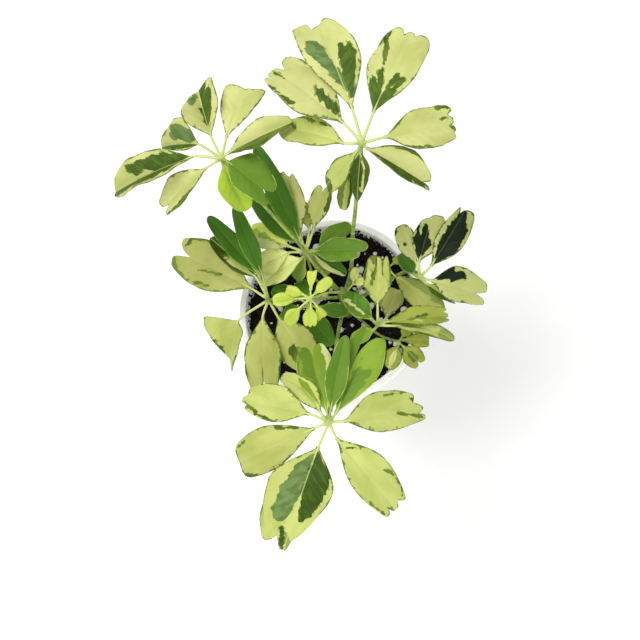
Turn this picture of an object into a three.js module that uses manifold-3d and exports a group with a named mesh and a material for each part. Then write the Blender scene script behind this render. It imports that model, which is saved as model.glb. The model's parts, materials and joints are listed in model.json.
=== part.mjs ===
// A potted umbrella plant: a small variegated schefflera in a nursery pot.
// Millimetres, +Z up, origin at the centre of the pot's underside.
// Each frond is a petiole that ends in a hub, with leaflets set round it like the ribs of an umbrella.

import * as THREE from 'three';
import { mergeVertices } from 'three/addons/utils/BufferGeometryUtils.js';
import Module from 'manifold-3d';

const wasm = await Module();
wasm.setup();

// ---------------------------------------------------------------- driving dimensions

const TOUCH = 0.3; // gap kept between solids that touch

const POT = {
  height: 88,
  rim: 52, // outer radius at the lip
  foot: 37, // outer radius at the underside
  wall: 1.4,
  floor: 2,
  lipDrop: 7, // height of the lip's outer band
  lipOut: 2.4, // how far the lip stands out from the wall
  drains: 6,
  drainRadius: 3.5,
  drainCircle: 25,
  bevel: 1, // at every edge
  sides: 36,
};

const SOIL = {
  level: 81,
  crumb: 0.8, // height of the low crumbs
  longWave: [0.31, 0.27], // radians to each mm along X and Y
  shortWave: [0.73, 0.61],
  mound: { x: 8, y: -3, height: 1.6, spread: 16 },
  footIn: 1.4, // drawn in at the foot, clear of the pot's inner corner
  rings: 7,
  sides: 26,
};

// The stem leans a little and carries the petioles near its top.
const STEM = {
  path: [[8.5, -3.5, 60], [9.5, -1.5, 84], [10.5, 0, 104], [11, 1.5, 121]],
  foot: 3.3,
  tip: 2.3,
  sides: 8,
  steps: 5,
};

const BLADE = {
  thickness: 0.8,
  root: 0.8, // half width where the blade starts on its stalk
  cup: 0.09, // how far each half arches over, as a share of its width
  wave: 0.035, // edge wave, as a share of the blade's length
  waves: 1.6, // edge waves along one blade
  corner: 0.94, // how far the reach is drawn in at the blade's two edges
  shoulder: 1.15, // how slowly the blade widens from its root
  waveStep: 0.37, // share of a wave from one leaflet of a frond to the next
  rowEvery: 12.5, // length of blade to each row of faces, from 2 rows to 4
  rowSpread: 1.1, // above 1 the rows are closer near the root
  ribSteps: 20,
};

const STALK = { root: 0.85, tip: 0.6, sunk: 0.14, sides: 4, steps: 2 };
const PETIOLE = { sides: 5, steps: 6 };
const HUB_SHARE = 1.4; // the hub's radius over the petiole's
const SLIM = 0.75; // leaf stalks of the small fronds over those of the others

// Outlines of a blade, each one as [widest, ends, lean, reaches]: where it is widest, the share of
// its width left at its end on the left and on the right, the left half's share of the width, and
// how much of the length is reached at evenly spaced places from the left edge to the right edge.
const FORMS = {
  oval: [0.52, [0.72, 0.72], 0.5, [0.82, 0.96, 1, 0.96, 0.82]],
  point: [0.45, [0.56, 0.56], 0.5, [0.7, 0.89, 1, 0.89, 0.7]],
  blunt: [0.64, [0.84, 0.84], 0.5, [0.86, 0.98, 1, 0.98, 0.86]],
  cut: [0.7, [0.9, 0.9], 0.5, [0.94, 0.99, 1, 1, 0.95]],
  notched: [0.66, [0.84, 0.84], 0.5, [0.82, 0.97, 0.98, 0.83, 0.99, 0.98, 0.84]],
  toothed: [0.66, [0.86, 0.86], 0.5, [0.82, 0.94, 0.87, 1, 0.9, 0.95, 0.82]],
  hornedLeft: [0.68, [0.97, 0.74], 0.5, [1.18, 1.13, 0.9, 0.93, 0.98, 0.92, 0.8]],
  frilled: [0.66, [0.86, 0.9], 0.5, [0.86, 0.97, 1, 0.93, 1.01, 0.95, 1, 0.99, 0.95]],
  twoSteps: [0.6, [0.86, 0.92], 0.46, [0.84, 0.97, 0.93, 1.07, 1.03, 0.87, 0.98, 0.97, 0.84]],
  foldedTip: [0.64, [0.7, 0.8], 0.6, [0.84, 0.95, 0.98, 0.9, 1.02, 1.06, 0.96]],
  slantedLeft: [0.62, [0.8, 0.72], 0.5, [0.88, 0.97, 1, 0.96, 0.88]],
  club: [0.74, [0.86, 0.8], 0.62, [0.92, 1, 1, 0.94, 0.84]],
  slantedRight: [0.6, [0.62, 0.98], 0.52, [0.74, 0.82, 0.89, 0.95, 0.98]],
  wedge: [0.86, [0.94, 1.04], 0.5, [0.94, 0.95, 0.93, 0.97, 1.05]],
  lateOval: [0.66, [0.7, 0.7], 0.46, [0.86, 0.98, 1, 0.95, 0.8]],
  narrowLobe: [0.42, [0.74, 0.74], 0.58, [0.82, 0.93, 0.95, 0.78, 0.88, 1.04, 1.02]],
  shoulder: [0.3, [0.5, 0.42], 0.26, [0.84, 0.96, 1, 0.94, 0.8]],
  beaked: [0.62, [0.76, 0.8], 0.42, [0.84, 0.92, 0.9, 1.04, 0.92, 0.9, 0.8]],
  scalloped: [0.64, [0.94, 0.8], 0.49, [0.95, 1, 0.92, 1.02, 0.96, 1.02, 0.95, 0.98, 0.88]],
  paired: [0.64, [0.84, 0.84], 0.48, [0.86, 0.98, 1, 0.88, 1, 1, 0.9]],
  bitten: [0.66, [0.84, 0.82], 0.56, [0.84, 0.98, 0.93, 1.03, 0.95, 1.01, 0.9]],
  hooked: [0.62, [0.84, 0.82], 0.56, [0.8, 0.9, 0.88, 1, 0.93, 1.03, 0.84]],
  tongue: [0.56, [0.6, 0.86], 0.45, [0.68, 0.8, 0.88, 1.03, 0.88, 0.96, 0.84]],
  forked: [0.74, [0.86, 0.84], 0.42, [0.9, 1.02, 0.62, 0.84, 0.92, 0.93, 0.84]],
  flag: [0.18, [0.3, -0.8], 0.24, [0.8, 0.95, 1, 0.95, 0.8]],
  leftPeak: [0.6, [0.74, 0.7], 0.48, [0.88, 1.02, 1.02, 0.93, 0.88, 0.92, 0.82]],
  rightStep: [0.6, [0.76, 0.8], 0.5, [0.84, 0.97, 1, 0.97, 0.8, 0.86, 0.76]],
  rightFull: [0.62, [0.7, 0.86], 0.42, [0.78, 0.86, 0.9, 0.97, 1.01, 1, 0.88]],
  shouldered: [0.6, [0.66, 0.86], 0.42, [0.86, 0.99, 0.9, 0.98, 1, 0.98, 0.86]],
  deepSplit: [0.5, [0.8, 0.8], 0.6, [0.86, 0.97, 0.99, 0.8, 0.97, 1, 0.88]],
  comb: [0.7, [0.9, 0.9], 0.5, [0.76, 0.95, 0.82, 1.02, 0.84, 1, 0.8]],
  cleft: [0.62, [0.84, 0.84], 0.5, [0.86, 0.97, 0.99, 0.78, 0.95, 0.99, 0.88]],
};

// Every frond: its petiole's points from inside the stem out to the hub, the petiole's radii at
// the stem and at the hub, and its leaflets, each one as
// [heading, turn, rise, stalk, reach, width, arch, sweep, roll, fold, outline].
// Heading turns from +X towards +Y and rise is above level, both for the line from the
// blade's root to its tip. Turn is the angle from the stalk's own heading to the blade's.
// Arch and sweep bend the blade down and to the left along its length, roll lifts its left
// half, and fold lifts both halves off flat. Lengths are mm and angles degrees.
const FRONDS = [
  {
    name: 'frond_back_right',
    colour: 0xc3d184,
    petiole: [[11, 2, 107], [16, 12, 120], [19, 23, 137], [24, 33, 162], [32, 44, 205]],
    radii: [1.2, 0.95],
    leaflets: [
      [109, 5, -5, 16, 50, 25, 26, 0, 0, 8, 'hornedLeft'],
      [66, -2, -5, 14, 43, 23, 24, 0, 0, 8, 'frilled'],
      [135, 6, -11, 13, 48, 22, 22, 0, 4, 10, 'twoSteps'],
      [153, -20, -19, 8, 35, 17, 20, 0, 15, 16, 'blunt'],
      [12, 1, -11, 10, 31, 20, 22, 0, 0, 10, 'scalloped'],
      [-28, 22, -24, 3, 32, 16, 20, 0, -10, 38, 'foldedTip'],
      [-106, 2, -54, 4, 26, 11.5, 16, 0, 0, 24, 'point'],
      [-147, -18, -34, 4, 22, 13, 20, 0, 8, 20, 'club'],
      [-112, 16, -50, 15, 20, 9, 14, 0, 0, 40, 'oval'],
    ],
  },
  {
    name: 'frond_back_left',
    colour: 0xc9d487,
    petiole: [[10.5, 1, 114], [7, 4, 126], [-1, 12, 138], [-5, 17, 150], [-13, 25, 162], [-35, 48, 190]],
    radii: [1, 0.75],
    leaflets: [
      [-166, 24, -15, 14, 45, 24, 22, 0, 12, 38, 'slantedLeft'],
      [-148, 9, -24, 9, 30, 16.5, 18, 10, 6, 26, 'paired'],
      [166, 25, -28, 18, 26, 19, 20, 0, -12, 40, 'shoulder'],
      [107, -7, -4, 12, 28, 22, 22, 0, 0, 34, 'slantedRight'],
      [72, -4, -4, 10, 28, 19, 20, 0, 0, 6, 'wedge'],
      [18, -6, 11, 4, 34, 17, 20, 0, -10, 34, 'lateOval'],
      [-39, -13, -16, 3, 27, 18, 24, 0, 0, 10, 'narrowLobe'],
      [-65, 15, -36, 3, 24, 15, 24, 0, 0, 14, 'oval'],
    ],
  },
  {
    name: 'frond_front',
    colour: 0xbccd74,
    petiole: [[10, -1, 98], [9, -10, 107], [9, -24, 122], [9, -49, 142], [10, -71, 158]],
    radii: [1.15, 0.9],
    leaflets: [
      [166, 10, -13, 10, 36, 18, 24, 0, 0, 10, 'beaked'],
      [-159, 0, -12, 7, 41, 21, 22, 0, 0, 10, 'cut'],
      [-111, 2, -10, 12, 50, 30.5, 24, 0, 0, 9, 'tongue'],
      [-51, 13, -15, 8, 42, 20, 24, 0, 0, 10, 'bitten'],
      [10, 7, -10, 7, 37, 19, 22, 0, 0, 10, 'hooked'],
      [66, 16, -8, 5, 44, 20, 22, 0, 0, 12, 'forked'],
      [78, -1, 1, 5, 36, 10.5, 20, 0, 0, 14, 'oval'],
      [106, 6, -16, 5, 36, 19, 22, 0, 8, 14, 'notched'],
      [138, 8, -10, 6, 28, 11, 12, 46, 0, 24, 'oval'],
    ],
  },
  {
    name: 'frond_left',
    colour: 0xb9ca78,
    petiole: [[10.5, 1, 109], [2, -2, 119], [-8, -3, 126], [-16, -4, 129.5], [-25, -5, 132]],
    radii: [0.95, 0.75],
    leaflets: [
      [110, 10, 18, 13, 38, 10, 18, 0, 0, 22, 'oval'],
      [130, 20, 10, 14, 40, 11, 18, 0, 4, 22, 'oval'],
      [138, 20, 3, 13, 33, 11, 16, 0, -10, 24, 'oval'],
      [150, 5, -12, 11, 53, 26, 24, 0, 0, 8, 'cleft'],
      [-112, 46, -44, 24, 34, 25, 26, 10, 8, 24, 'flag'],
      [-94, 19, -26, 9, 41, 20, 22, 0, 0, 10, 'notched'],
      [-60, 3, -32, 10, 31, 21, 20, 0, 0, 10, 'notched'],
    ],
  },
  {
    name: 'frond_middle',
    colour: 0xa9c266,
    petiole: [[10.5, 1, 101], [5, 7, 106], [-3, 9, 113], [-5, 15, 127], [-5, 18, 136]],
    radii: [0.9, 0.75],
    leaflets: [
      [103, -4, -4, 9, 38, 13, 20, 0, 0, 12, 'leftPeak'],
      [78, 6, -8, 13, 25, 12, 20, 0, 0, 10, 'notched'],
      [101, 18, -10, 13, 16, 7, 14, 0, 0, 10, 'oval'],
      [40, 20, -12, 7, 21, 11, 20, 0, 0, 10, 'oval'],
      [-4, -4, 9, 4, 29, 13, 18, 0, 0, 12, 'rightStep'],
      [-30, -17, -24, 4, 20, 9, 18, 0, 0, 34, 'oval'],
      [-38, -11, -54, 4, 16, 8, 14, 0, 0, 18, 'oval'],
      [-166, -30, -38, 4, 32, 14, 20, 0, 0, 18, 'oval'],
      [-142, -30, -60, 4, 20, 11, 18, 0, 0, 18, 'oval'],
      [150, -5, -20, 10, 29, 15, 22, 0, 0, 10, 'blunt'],
      [-170, 20, -33, 10, 24, 15, 20, 0, 0, 10, 'blunt'],
      [131, 9, -8, 5, 43, 15, 20, 0, 4, 16, 'oval'],
      [114, -1, 0, 6, 60, 12.5, 18, 0, 0, 18, 'oval'],
    ],
  },
  {
    name: 'frond_young',
    colour: 0xdcea62,
    small: true,
    petiole: [[11, 1.5, 116], [9.5, -1.5, 128], [6, -5, 140], [0, -10, 150]],
    radii: [0.75, 0.6],
    leaflets: [
      [84, -4, 6, 4, 10, 5, 12, 0, 0, 14, 'wedge'],
      [40, -5, 5, 3, 11, 6, 12, 0, 0, 14, 'blunt'],
      [159, 8, 6, 4, 9, 5.5, 12, 0, 0, 14, 'bitten'],
      [181, 4, -10, 7, 12.5, 7.5, 16, 0, 0, 22, 'blunt'],
      [-135, 9, -18, 7, 10.5, 7.5, 16, 0, 0, 14, 'blunt'],
      [-94, -3, -16, 4, 10, 7.5, 16, 0, 0, 10, 'toothed'],
      [-62, -10, -20, 4, 7.5, 5.5, 16, 0, 0, 14, 'wedge'],
    ],
  },
  {
    name: 'frond_inner_green',
    colour: 0x5a8a2e,
    petiole: [[10, -1, 94], [3, -3, 105], [-3, -4.5, 113], [-6, -5, 118]],
    radii: [0.8, 0.65],
    leaflets: [
      [157, 8, -12, 6, 18, 11, 18, 0, 0, 12, 'oval'],
      [110, -7, -18, 4, 12, 10, 18, 0, 0, 12, 'blunt'],
      [-10, 14, -1, 5, 16, 8, 16, 0, 0, 10, 'blunt'],
      [-50, 70, -24, 5, 22, 13, 20, 0, 0, 14, 'oval'],
      [-162, 4, -25, 5, 15, 9, 18, 0, 0, 14, 'oval'],
    ],
  },
  {
    name: 'frond_right_crumpled',
    colour: 0xb4bf5c,
    petiole: [[11, 0, 96], [16, -5, 106], [23, -12, 120], [31, -21, 135]],
    radii: [1, 0.8],
    leaflets: [
      [87, -1, 12, 9, 25, 15, 12, 0, 0, 24, 'comb'],
      [134, 2, -12, 4, 22, 11, 16, 0, 0, 20, 'oval'],
      [78, 30, -41, 7, 26, 12, 14, 0, 0, 14, 'blunt'],
      [6, -15, -8, 4, 31, 11, 18, 0, 0, 18, 'bitten'],
      [-13, -9, -13, 7, 32, 8.5, 18, -34, 0, 30, 'oval'],
      [-162, -26, -32, 3, 16, 8, 14, 0, 0, 18, 'oval'],
    ],
  },
  {
    name: 'frond_right_low',
    colour: 0x9caf3e,
    small: true,
    petiole: [[10, -1.5, 88], [18, -9, 96], [30, -21, 110], [40, -27, 122]],
    radii: [0.8, 0.65],
    leaflets: [
      [-1, -29, -16, 2, 14, 7.5, 16, 0, 0, 14, 'cut'],
      [-46, -1, -26, 3, 13.5, 11, 16, 0, 0, 12, 'notched'],
      [-119, -25, -38, 2, 15, 9.5, 16, 0, 0, 16, 'oval'],
      [52, 0, -8, 3, 8, 6, 12, 0, 0, 16, 'oval'],
    ],
  },
  {
    name: 'frond_right',
    colour: 0xaabb70,
    petiole: [[10.5, 0, 92], [24, 6, 99], [42, 12, 111], [50, 9, 122], [52, 3, 133]],
    radii: [1.1, 0.9],
    leaflets: [
      [111, 11, 0, 7, 22, 10.5, 16, 0, 0, 8, 'blunt'],
      [73, -16, 2, 8, 25, 16, 18, 0, 0, 10, 'rightFull'],
      [57, 16, 5, 8, 33, 15, 18, 8, 0, 12, 'shouldered'],
      [-17, 0, -12, 6, 28, 18, 18, 0, 0, 10, 'deepSplit'],
      [-32, 10, -27, 5, 18, 6, 14, 0, 0, 22, 'point'],
      [119, -28, -20, 3, 16, 8, 16, 0, 0, 16, 'oval'],
    ],
  },
  {
    name: 'frond_right_inner',
    colour: 0xb7c47a,
    small: true,
    petiole: [[11, 1, 101], [18, 3, 111], [26, 7, 119], [36, 11, 126]],
    radii: [0.8, 0.65],
    leaflets: [
      [-40, 17, -6, 5, 31, 13.5, 18, 0, 0, 8, 'blunt'],
      [42, 0, -18, 3, 6, 5, 10, 0, 0, 16, 'oval'],
      [150, 0, 16, 3, 8, 4.5, 10, 0, 0, 20, 'oval'],
    ],
  },
  {
    name: 'bud',
    colour: 0xe6ec8c,
    small: true,
    petiole: [[11, 1.5, 111], [14, 3, 116], [16.5, 4.5, 119]],
    radii: [0.7, 0.55],
    leaflets: [
      [68, 0, 30, 1.5, 8.5, 5.5, 20, 0, 0, 30, 'blunt'],
      [8, 0, 26, 1.5, 7, 5, 20, 0, 0, 30, 'blunt'],
    ],
  },
];

// ---------------------------------------------------------------- solids from geometry

const vec = (p) => new THREE.Vector3(...p);
const radians = THREE.MathUtils.degToRad;

// A closed geometry as a solid that can be joined and cut.
function solid(geometry) {
  const bare = new THREE.BufferGeometry();
  bare.setAttribute('position', geometry.getAttribute('position').clone());
  bare.setIndex(geometry.index ? geometry.index.clone() : null);
  const merged = mergeVertices(bare, 1e-4);
  const kept = [];
  const index = merged.index.array;
  for (let i = 0; i < index.length; i += 3) {
    const [a, b, c] = index.slice(i, i + 3);
    if (a !== b && b !== c && c !== a) kept.push(a, b, c);
  }
  return new wasm.Manifold(
    new wasm.Mesh({
      numProp: 3,
      vertProperties: merged.attributes.position.array,
      triVerts: new Uint32Array(kept),
    }),
  );
}

// The one large body of a solid, with any pocket that the joining sealed filled up.
function wholeBody(shape) {
  const bodies = shape.decompose();
  return bodies.reduce((large, body) => (body.volume() > large.volume() ? body : large));
}

// A solid as a named mesh with its own finish.
function piece(name, shape, colour, roughness) {
  const found = shape.getMesh();
  const stride = found.numProp;
  const position = new Float32Array(found.numVert * 3);
  for (let i = 0; i < found.numVert; i++) {
    position.set(found.vertProperties.subarray(i * stride, i * stride + 3), i * 3);
  }
  const geometry = new THREE.BufferGeometry();
  geometry.setAttribute('position', new THREE.BufferAttribute(position, 3));
  geometry.setIndex(new THREE.BufferAttribute(found.triVerts, 1));
  geometry.computeVertexNormals();
  const finish = new THREE.MeshStandardMaterial({ color: colour, roughness, metalness: 0 });
  const mesh = new THREE.Mesh(geometry, finish);
  mesh.name = name;
  return mesh;
}

// A capped cylinder that is bent to follow a curve and tapers along it.
function rod(points, rootRadius, tipRadius, sides, steps) {
  const path = new THREE.CatmullRomCurve3(points);
  const frames = path.computeFrenetFrames(steps, false);
  const geometry = new THREE.CylinderGeometry(1, 1, 1, sides, steps);
  const at = geometry.getAttribute('position');
  for (let i = 0; i < at.count; i++) {
    const share = at.getY(i) + 0.5;
    const step = Math.round(share * steps);
    const radius = THREE.MathUtils.lerp(rootRadius, tipRadius, share);
    const point = path.getPointAt(step / steps);
    point.addScaledVector(frames.normals[step], at.getX(i) * radius);
    point.addScaledVector(frames.binormals[step], -at.getZ(i) * radius);
    at.setXYZ(i, point.x, point.y, point.z);
  }
  return solid(geometry);
}

// ---------------------------------------------------------------- pot and soil

// Outer radius of the plain wall at a height.
function wallRadius(z) {
  return THREE.MathUtils.lerp(POT.foot, POT.rim - POT.lipOut, z / POT.height);
}

function turned(profile, sides) {
  const points = profile.map(([r, z]) => new THREE.Vector2(r, z));
  const geometry = new THREE.LatheGeometry(points, sides);
  geometry.rotateX(Math.PI / 2);
  return solid(geometry);
}

function makePot() {
  const lip = POT.height - POT.lipDrop;
  const top = POT.height;
  const inside = (z) => wallRadius(z) - POT.wall;
  const { bevel } = POT;
  let pot = turned(
    [
      [0, 0],
      [POT.foot - bevel, 0],
      [wallRadius(bevel), bevel],
      [wallRadius(lip), lip],
      [POT.rim - bevel / 2, lip + bevel / 2],
      [POT.rim, lip + bevel],
      [POT.rim, top - bevel],
      [POT.rim - bevel, top],
      [inside(top) + bevel, top],
      [inside(top), top - bevel],
      [inside(POT.floor + bevel), POT.floor + bevel],
      [inside(POT.floor) - bevel, POT.floor],
      [0, POT.floor],
    ],
    POT.sides,
  );
  for (let i = 0; i < POT.drains; i++) {
    const turn = ((i + 0.5) / POT.drains) * 2 * Math.PI;
    const drill = new THREE.CylinderGeometry(POT.drainRadius, POT.drainRadius, 6, 14);
    drill.rotateX(Math.PI / 2);
    drill.translate(POT.drainCircle * Math.cos(turn), POT.drainCircle * Math.sin(turn), 0);
    pot = pot.subtract(solid(drill));
  }
  return pot;
}

// The soil's surface: low crumbs and hollows, with a slight mound round the stem.
function soilHeight(x, y) {
  const { longWave, shortWave, mound } = SOIL;
  const long = Math.sin(x * longWave[0] + 1.3) * Math.cos(y * longWave[1] - 0.4);
  const short = Math.sin(x * shortWave[0] + y * shortWave[1]);
  const away = Math.hypot(x - mound.x, y - mound.y) / mound.spread;
  return SOIL.level + SOIL.crumb * (long + 0.6 * short) + mound.height * Math.exp(-away * away);
}

function makeSoil() {
  const low = POT.floor + TOUCH;
  const edge = wallRadius(SOIL.level) - POT.wall - TOUCH;
  const profile = [[0, low], [wallRadius(low) - POT.wall - SOIL.footIn, low], [edge, SOIL.level]];
  for (let i = SOIL.rings - 1; i >= 0; i--) profile.push([(edge * i) / SOIL.rings, SOIL.level]);
  const geometry = new THREE.LatheGeometry(profile.map(([r, z]) => new THREE.Vector2(r, z)), SOIL.sides);
  geometry.rotateX(Math.PI / 2);
  const at = geometry.getAttribute('position');
  for (let i = 0; i < at.count; i++) {
    const [x, y] = [at.getX(i), at.getY(i)];
    const inner = Math.hypot(x, y) < edge - 0.1;
    if (inner && at.getZ(i) > SOIL.level - 1) at.setZ(i, soilHeight(x, y));
  }
  return solid(geometry).subtract(makeStem(TOUCH));
}

// ---------------------------------------------------------------- stem, leaflets, fronds

function makeStem(extra = 0) {
  const points = STEM.path.map(vec);
  if (extra > 0) {
    points[0].z -= extra;
    points[points.length - 1].z += extra;
  }
  return rod(points, STEM.foot + extra, STEM.tip + extra, STEM.sides, STEM.steps);
}

// Unit vector for a heading and a rise, in degrees.
function direction(heading, rise) {
  const [h, r] = [radians(heading), radians(rise)];
  return new THREE.Vector3(Math.cos(r) * Math.cos(h), Math.cos(r) * Math.sin(h), Math.sin(r));
}

// Half the blade's width at a share u of its length, for the left (t > 0) or the right side.
function halfWidth({ width, form }, t, u) {
  const full = width * (t > 0 ? form.lean : 1 - form.lean);
  const early = Math.sin((Math.PI / 2) * Math.min(u / form.widest, 1)) ** BLADE.shoulder;
  const past = Math.max((u - form.widest) / (1 - form.widest), 0);
  const share = early - (1 - (t > 0 ? form.ends[0] : form.ends[1])) * past * past;
  return Math.max(full * share, BLADE.root);
}

// The numbers of one leaflet by name.
function readLeaflet(row) {
  const [heading, turn, rise, stalk, reach, width, arch, sweep, roll, fold, outline] = row;
  const [widest, ends, lean, reaches] = FORMS[outline];
  const form = { widest, ends, lean, reaches };
  return { heading, turn, rise, stalk, reach, width, arch, sweep, roll, fold, form };
}

// The blade's midrib: place and frame at a share of its length, stepped along its bend.
function makeRib(root, { heading, rise, reach, arch, sweep, roll }) {
  const half = Math.max(radians(arch) / 2, 0.01);
  const length = (reach * half) / Math.sin(half);
  const steps = BLADE.ribSteps;
  const places = [root.clone()];
  const turnAt = (s) => [heading + sweep * (s - 0.5), rise + arch * (0.5 - s)];
  for (let i = 0; i < steps; i++) {
    const along = direction(...turnAt((i + 0.5) / steps));
    places.push(places[i].clone().addScaledVector(along, length / steps));
  }
  return (s) => {
    const i = Math.min(Math.floor(s * steps), steps - 1);
    const place = places[i].clone().lerp(places[i + 1], s * steps - i);
    const along = direction(...turnAt(s));
    const left = direction(turnAt(s)[0] + 90, 0);
    const up = along.clone().cross(left);
    left.applyAxisAngle(along, radians(roll));
    up.applyAxisAngle(along, radians(roll));
    return { place, along, left, up, length };
  };
}

// One leaflet's blade: a thin folded and arched sheet with its lobes and notches cut in.
function makeBlade(rib, leaf, phase) {
  const { reach, fold, form } = leaf;
  const columns = form.reaches.length;
  const count = THREE.MathUtils.clamp(Math.round(reach / BLADE.rowEvery), 2, 4);
  const rows = Array.from({ length: count + 1 }, (_, k) => (k / count) ** BLADE.rowSpread);
  const lean = radians(fold);
  const corner = (i, u, lift) => {
    const t = 1 - (2 * i) / (columns - 1);
    const frame = rib(u * form.reaches[i] * (Math.abs(t) < 1 ? 1 : BLADE.corner));
    const half = halfWidth(leaf, t, u);
    const x = t * half;
    const side = Math.sign(t);
    const wave =
      BLADE.wave * frame.length * Math.sin(2 * Math.PI * (BLADE.waves * u + phase) + side) * t * t * u;
    const rise = Math.abs(x) * Math.sin(lean) - BLADE.cup * half * t * t + wave;
    const normal = frame.up.clone().multiplyScalar(Math.cos(lean));
    normal.addScaledVector(frame.left, -side * Math.sin(lean));
    return frame.place
      .addScaledVector(frame.left, x * Math.cos(lean))
      .addScaledVector(frame.up, rise)
      .addScaledVector(normal, lift);
  };
  const position = [];
  for (const lift of [BLADE.thickness / 2, -BLADE.thickness / 2]) {
    for (const u of rows) {
      for (let i = 0; i < columns; i++) position.push(...corner(i, u, lift).toArray());
    }
  }
  const under = rows.length * columns;
  const index = [];
  for (let j = 0; j < rows.length - 1; j++) {
    for (let i = 0; i < columns - 1; i++) {
      const a = j * columns + i;
      const [b, c, d] = [a + 1, a + 1 + columns, a + columns];
      index.push(a, b, c, a, c, d);
      index.push(a + under, c + under, b + under, a + under, d + under, c + under);
    }
  }
  const rim = [];
  for (let i = columns - 1; i > 0; i--) rim.push(i);
  for (let j = 0; j < rows.length - 1; j++) rim.push(j * columns);
  for (let i = 0; i < columns - 1; i++) rim.push((rows.length - 1) * columns + i);
  for (let j = rows.length - 1; j > 0; j--) rim.push(j * columns + columns - 1);
  rim.forEach((a, k) => {
    const b = rim[(k + 1) % rim.length];
    index.push(a, b, b + under, a, b + under, a + under);
  });
  const geometry = new THREE.BufferGeometry();
  geometry.setAttribute('position', new THREE.BufferAttribute(new Float32Array(position), 3));
  geometry.setIndex(index);
  return solid(geometry);
}

// A frond: petiole, hub, and each leaflet's stalk and blade, joined into one solid.
function makeFrond(frond) {
  const points = frond.petiole.map(vec);
  const hub = points[points.length - 1];
  const slim = frond.small ? SLIM : 1;
  const knob = new THREE.IcosahedronGeometry(HUB_SHARE * frond.radii[1], 0);
  knob.translate(...hub.toArray());
  let shape = rod(points, ...frond.radii, PETIOLE.sides, PETIOLE.steps);
  shape = shape.subtract(makeStem(TOUCH)).add(solid(knob));
  frond.leaflets.map(readLeaflet).forEach((leaflet, i) => {
    const { heading, turn, rise, stalk, arch } = leaflet;
    const root = hub.clone().addScaledVector(direction(heading - turn, rise + arch / 2), stalk);
    const rib = makeRib(root, leaflet);
    const ends = [hub, rib(0).place, rib(STALK.sunk).place];
    const sides = frond.small ? STALK.sides - 1 : STALK.sides;
    shape = shape.add(rod(ends, STALK.root * slim, STALK.tip * slim, sides, STALK.steps));
    shape = shape.add(makeBlade(rib, leaflet, (i * BLADE.waveStep) % 1));
  });
  return wholeBody(shape);
}

// ---------------------------------------------------------------- the plant

const plant = new THREE.Group();
plant.add(piece('pot', makePot(), 0xd9d6ce, 0.45));
plant.add(piece('soil', makeSoil(), 0x17120d, 0.95));
plant.add(piece('main_stem', makeStem(), 0x8a9a4a, 0.6));
for (const frond of FRONDS) {
  plant.add(piece(frond.name, makeFrond(frond), frond.colour, 0.4));
}

export default plant;
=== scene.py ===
# %% [markdown]
# # An umbrella plant in a nursery pot
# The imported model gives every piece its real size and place: a thin plastic pot, its soil, one short
# stem, and the fronds. A frond is a long stalk that ends in a hub with leaflets set round it like the
# ribs of an umbrella. This lesson keeps those places and makes the surfaces: cream leaves with dark
# green patches, smooth stalks, crumbly soil with white perlite, and a dusty pot.

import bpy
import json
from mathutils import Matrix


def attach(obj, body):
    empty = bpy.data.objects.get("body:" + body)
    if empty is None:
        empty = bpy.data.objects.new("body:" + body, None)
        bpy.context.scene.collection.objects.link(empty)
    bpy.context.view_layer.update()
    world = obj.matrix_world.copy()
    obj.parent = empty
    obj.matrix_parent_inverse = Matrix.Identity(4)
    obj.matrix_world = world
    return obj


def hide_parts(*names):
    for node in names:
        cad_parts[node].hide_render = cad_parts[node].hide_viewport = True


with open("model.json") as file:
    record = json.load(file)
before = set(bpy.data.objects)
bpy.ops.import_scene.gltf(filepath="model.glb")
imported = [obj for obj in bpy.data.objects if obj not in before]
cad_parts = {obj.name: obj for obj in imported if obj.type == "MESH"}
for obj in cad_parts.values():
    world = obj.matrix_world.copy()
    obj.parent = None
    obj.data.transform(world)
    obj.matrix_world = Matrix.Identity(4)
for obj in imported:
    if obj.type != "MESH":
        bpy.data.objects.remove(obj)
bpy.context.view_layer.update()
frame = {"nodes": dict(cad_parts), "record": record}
print("nodes:", ", ".join(sorted(frame["nodes"])))

# %% [markdown]
# ## Tools used all through
# An operator acts on all that is selected, and the frame arrives with its nodes selected. So each step
# first deselects everything, or picks the one piece that it is about to change. A modifier is applied as
# soon as it is set, which leaves a finished piece as a plain mesh that holds its own shape.

# %% Selecting and modifying
import json
import math

import bpy
import numpy as np
from mathutils import Matrix, Vector

MM = 0.001  # the sizes below are in millimetres, and Blender works in metres


def deselect():
    """Nothing selected, so that an operator acts only on what is chosen next."""
    if bpy.context.object and bpy.context.object.mode != "OBJECT":
        bpy.ops.object.mode_set(mode="OBJECT")
    bpy.ops.object.select_all(action="DESELECT")


def only(piece):
    """That piece alone is selected and active."""
    deselect()
    piece.select_set(True)
    bpy.context.view_layer.objects.active = piece


def apply_modifier(piece, kind, **settings):
    """Adds a modifier, sets it and makes it part of the mesh."""
    only(piece)
    modifier = piece.modifiers.new(kind.lower(), kind)
    for name, value in settings.items():
        setattr(modifier, name, value)
    bpy.ops.object.modifier_apply(modifier=modifier.name)


print("sizes are written in mm, and", round(1 / MM), "of them make one Blender unit")

# %% [markdown]
# ## Pieces and their points
# Leaves and crumbs repeat one form many times, each at its own place. Moving their points as one array of
# numbers is quick and exact, where moving them one by one in the viewport would take days. Each finished
# piece gets its material, rides on the plant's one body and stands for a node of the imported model.

# %% Points, joining and finishing
def points_of(piece):
    """The mesh's points as an array, in metres."""
    flat = np.empty(len(piece.data.vertices) * 3)
    piece.data.vertices.foreach_get("co", flat)
    return flat.reshape(-1, 3)


def move_points(piece, points):
    """Writes an array of points back to the mesh."""
    piece.data.vertices.foreach_set("co", np.asarray(points, float).ravel())
    piece.data.update()


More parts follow.
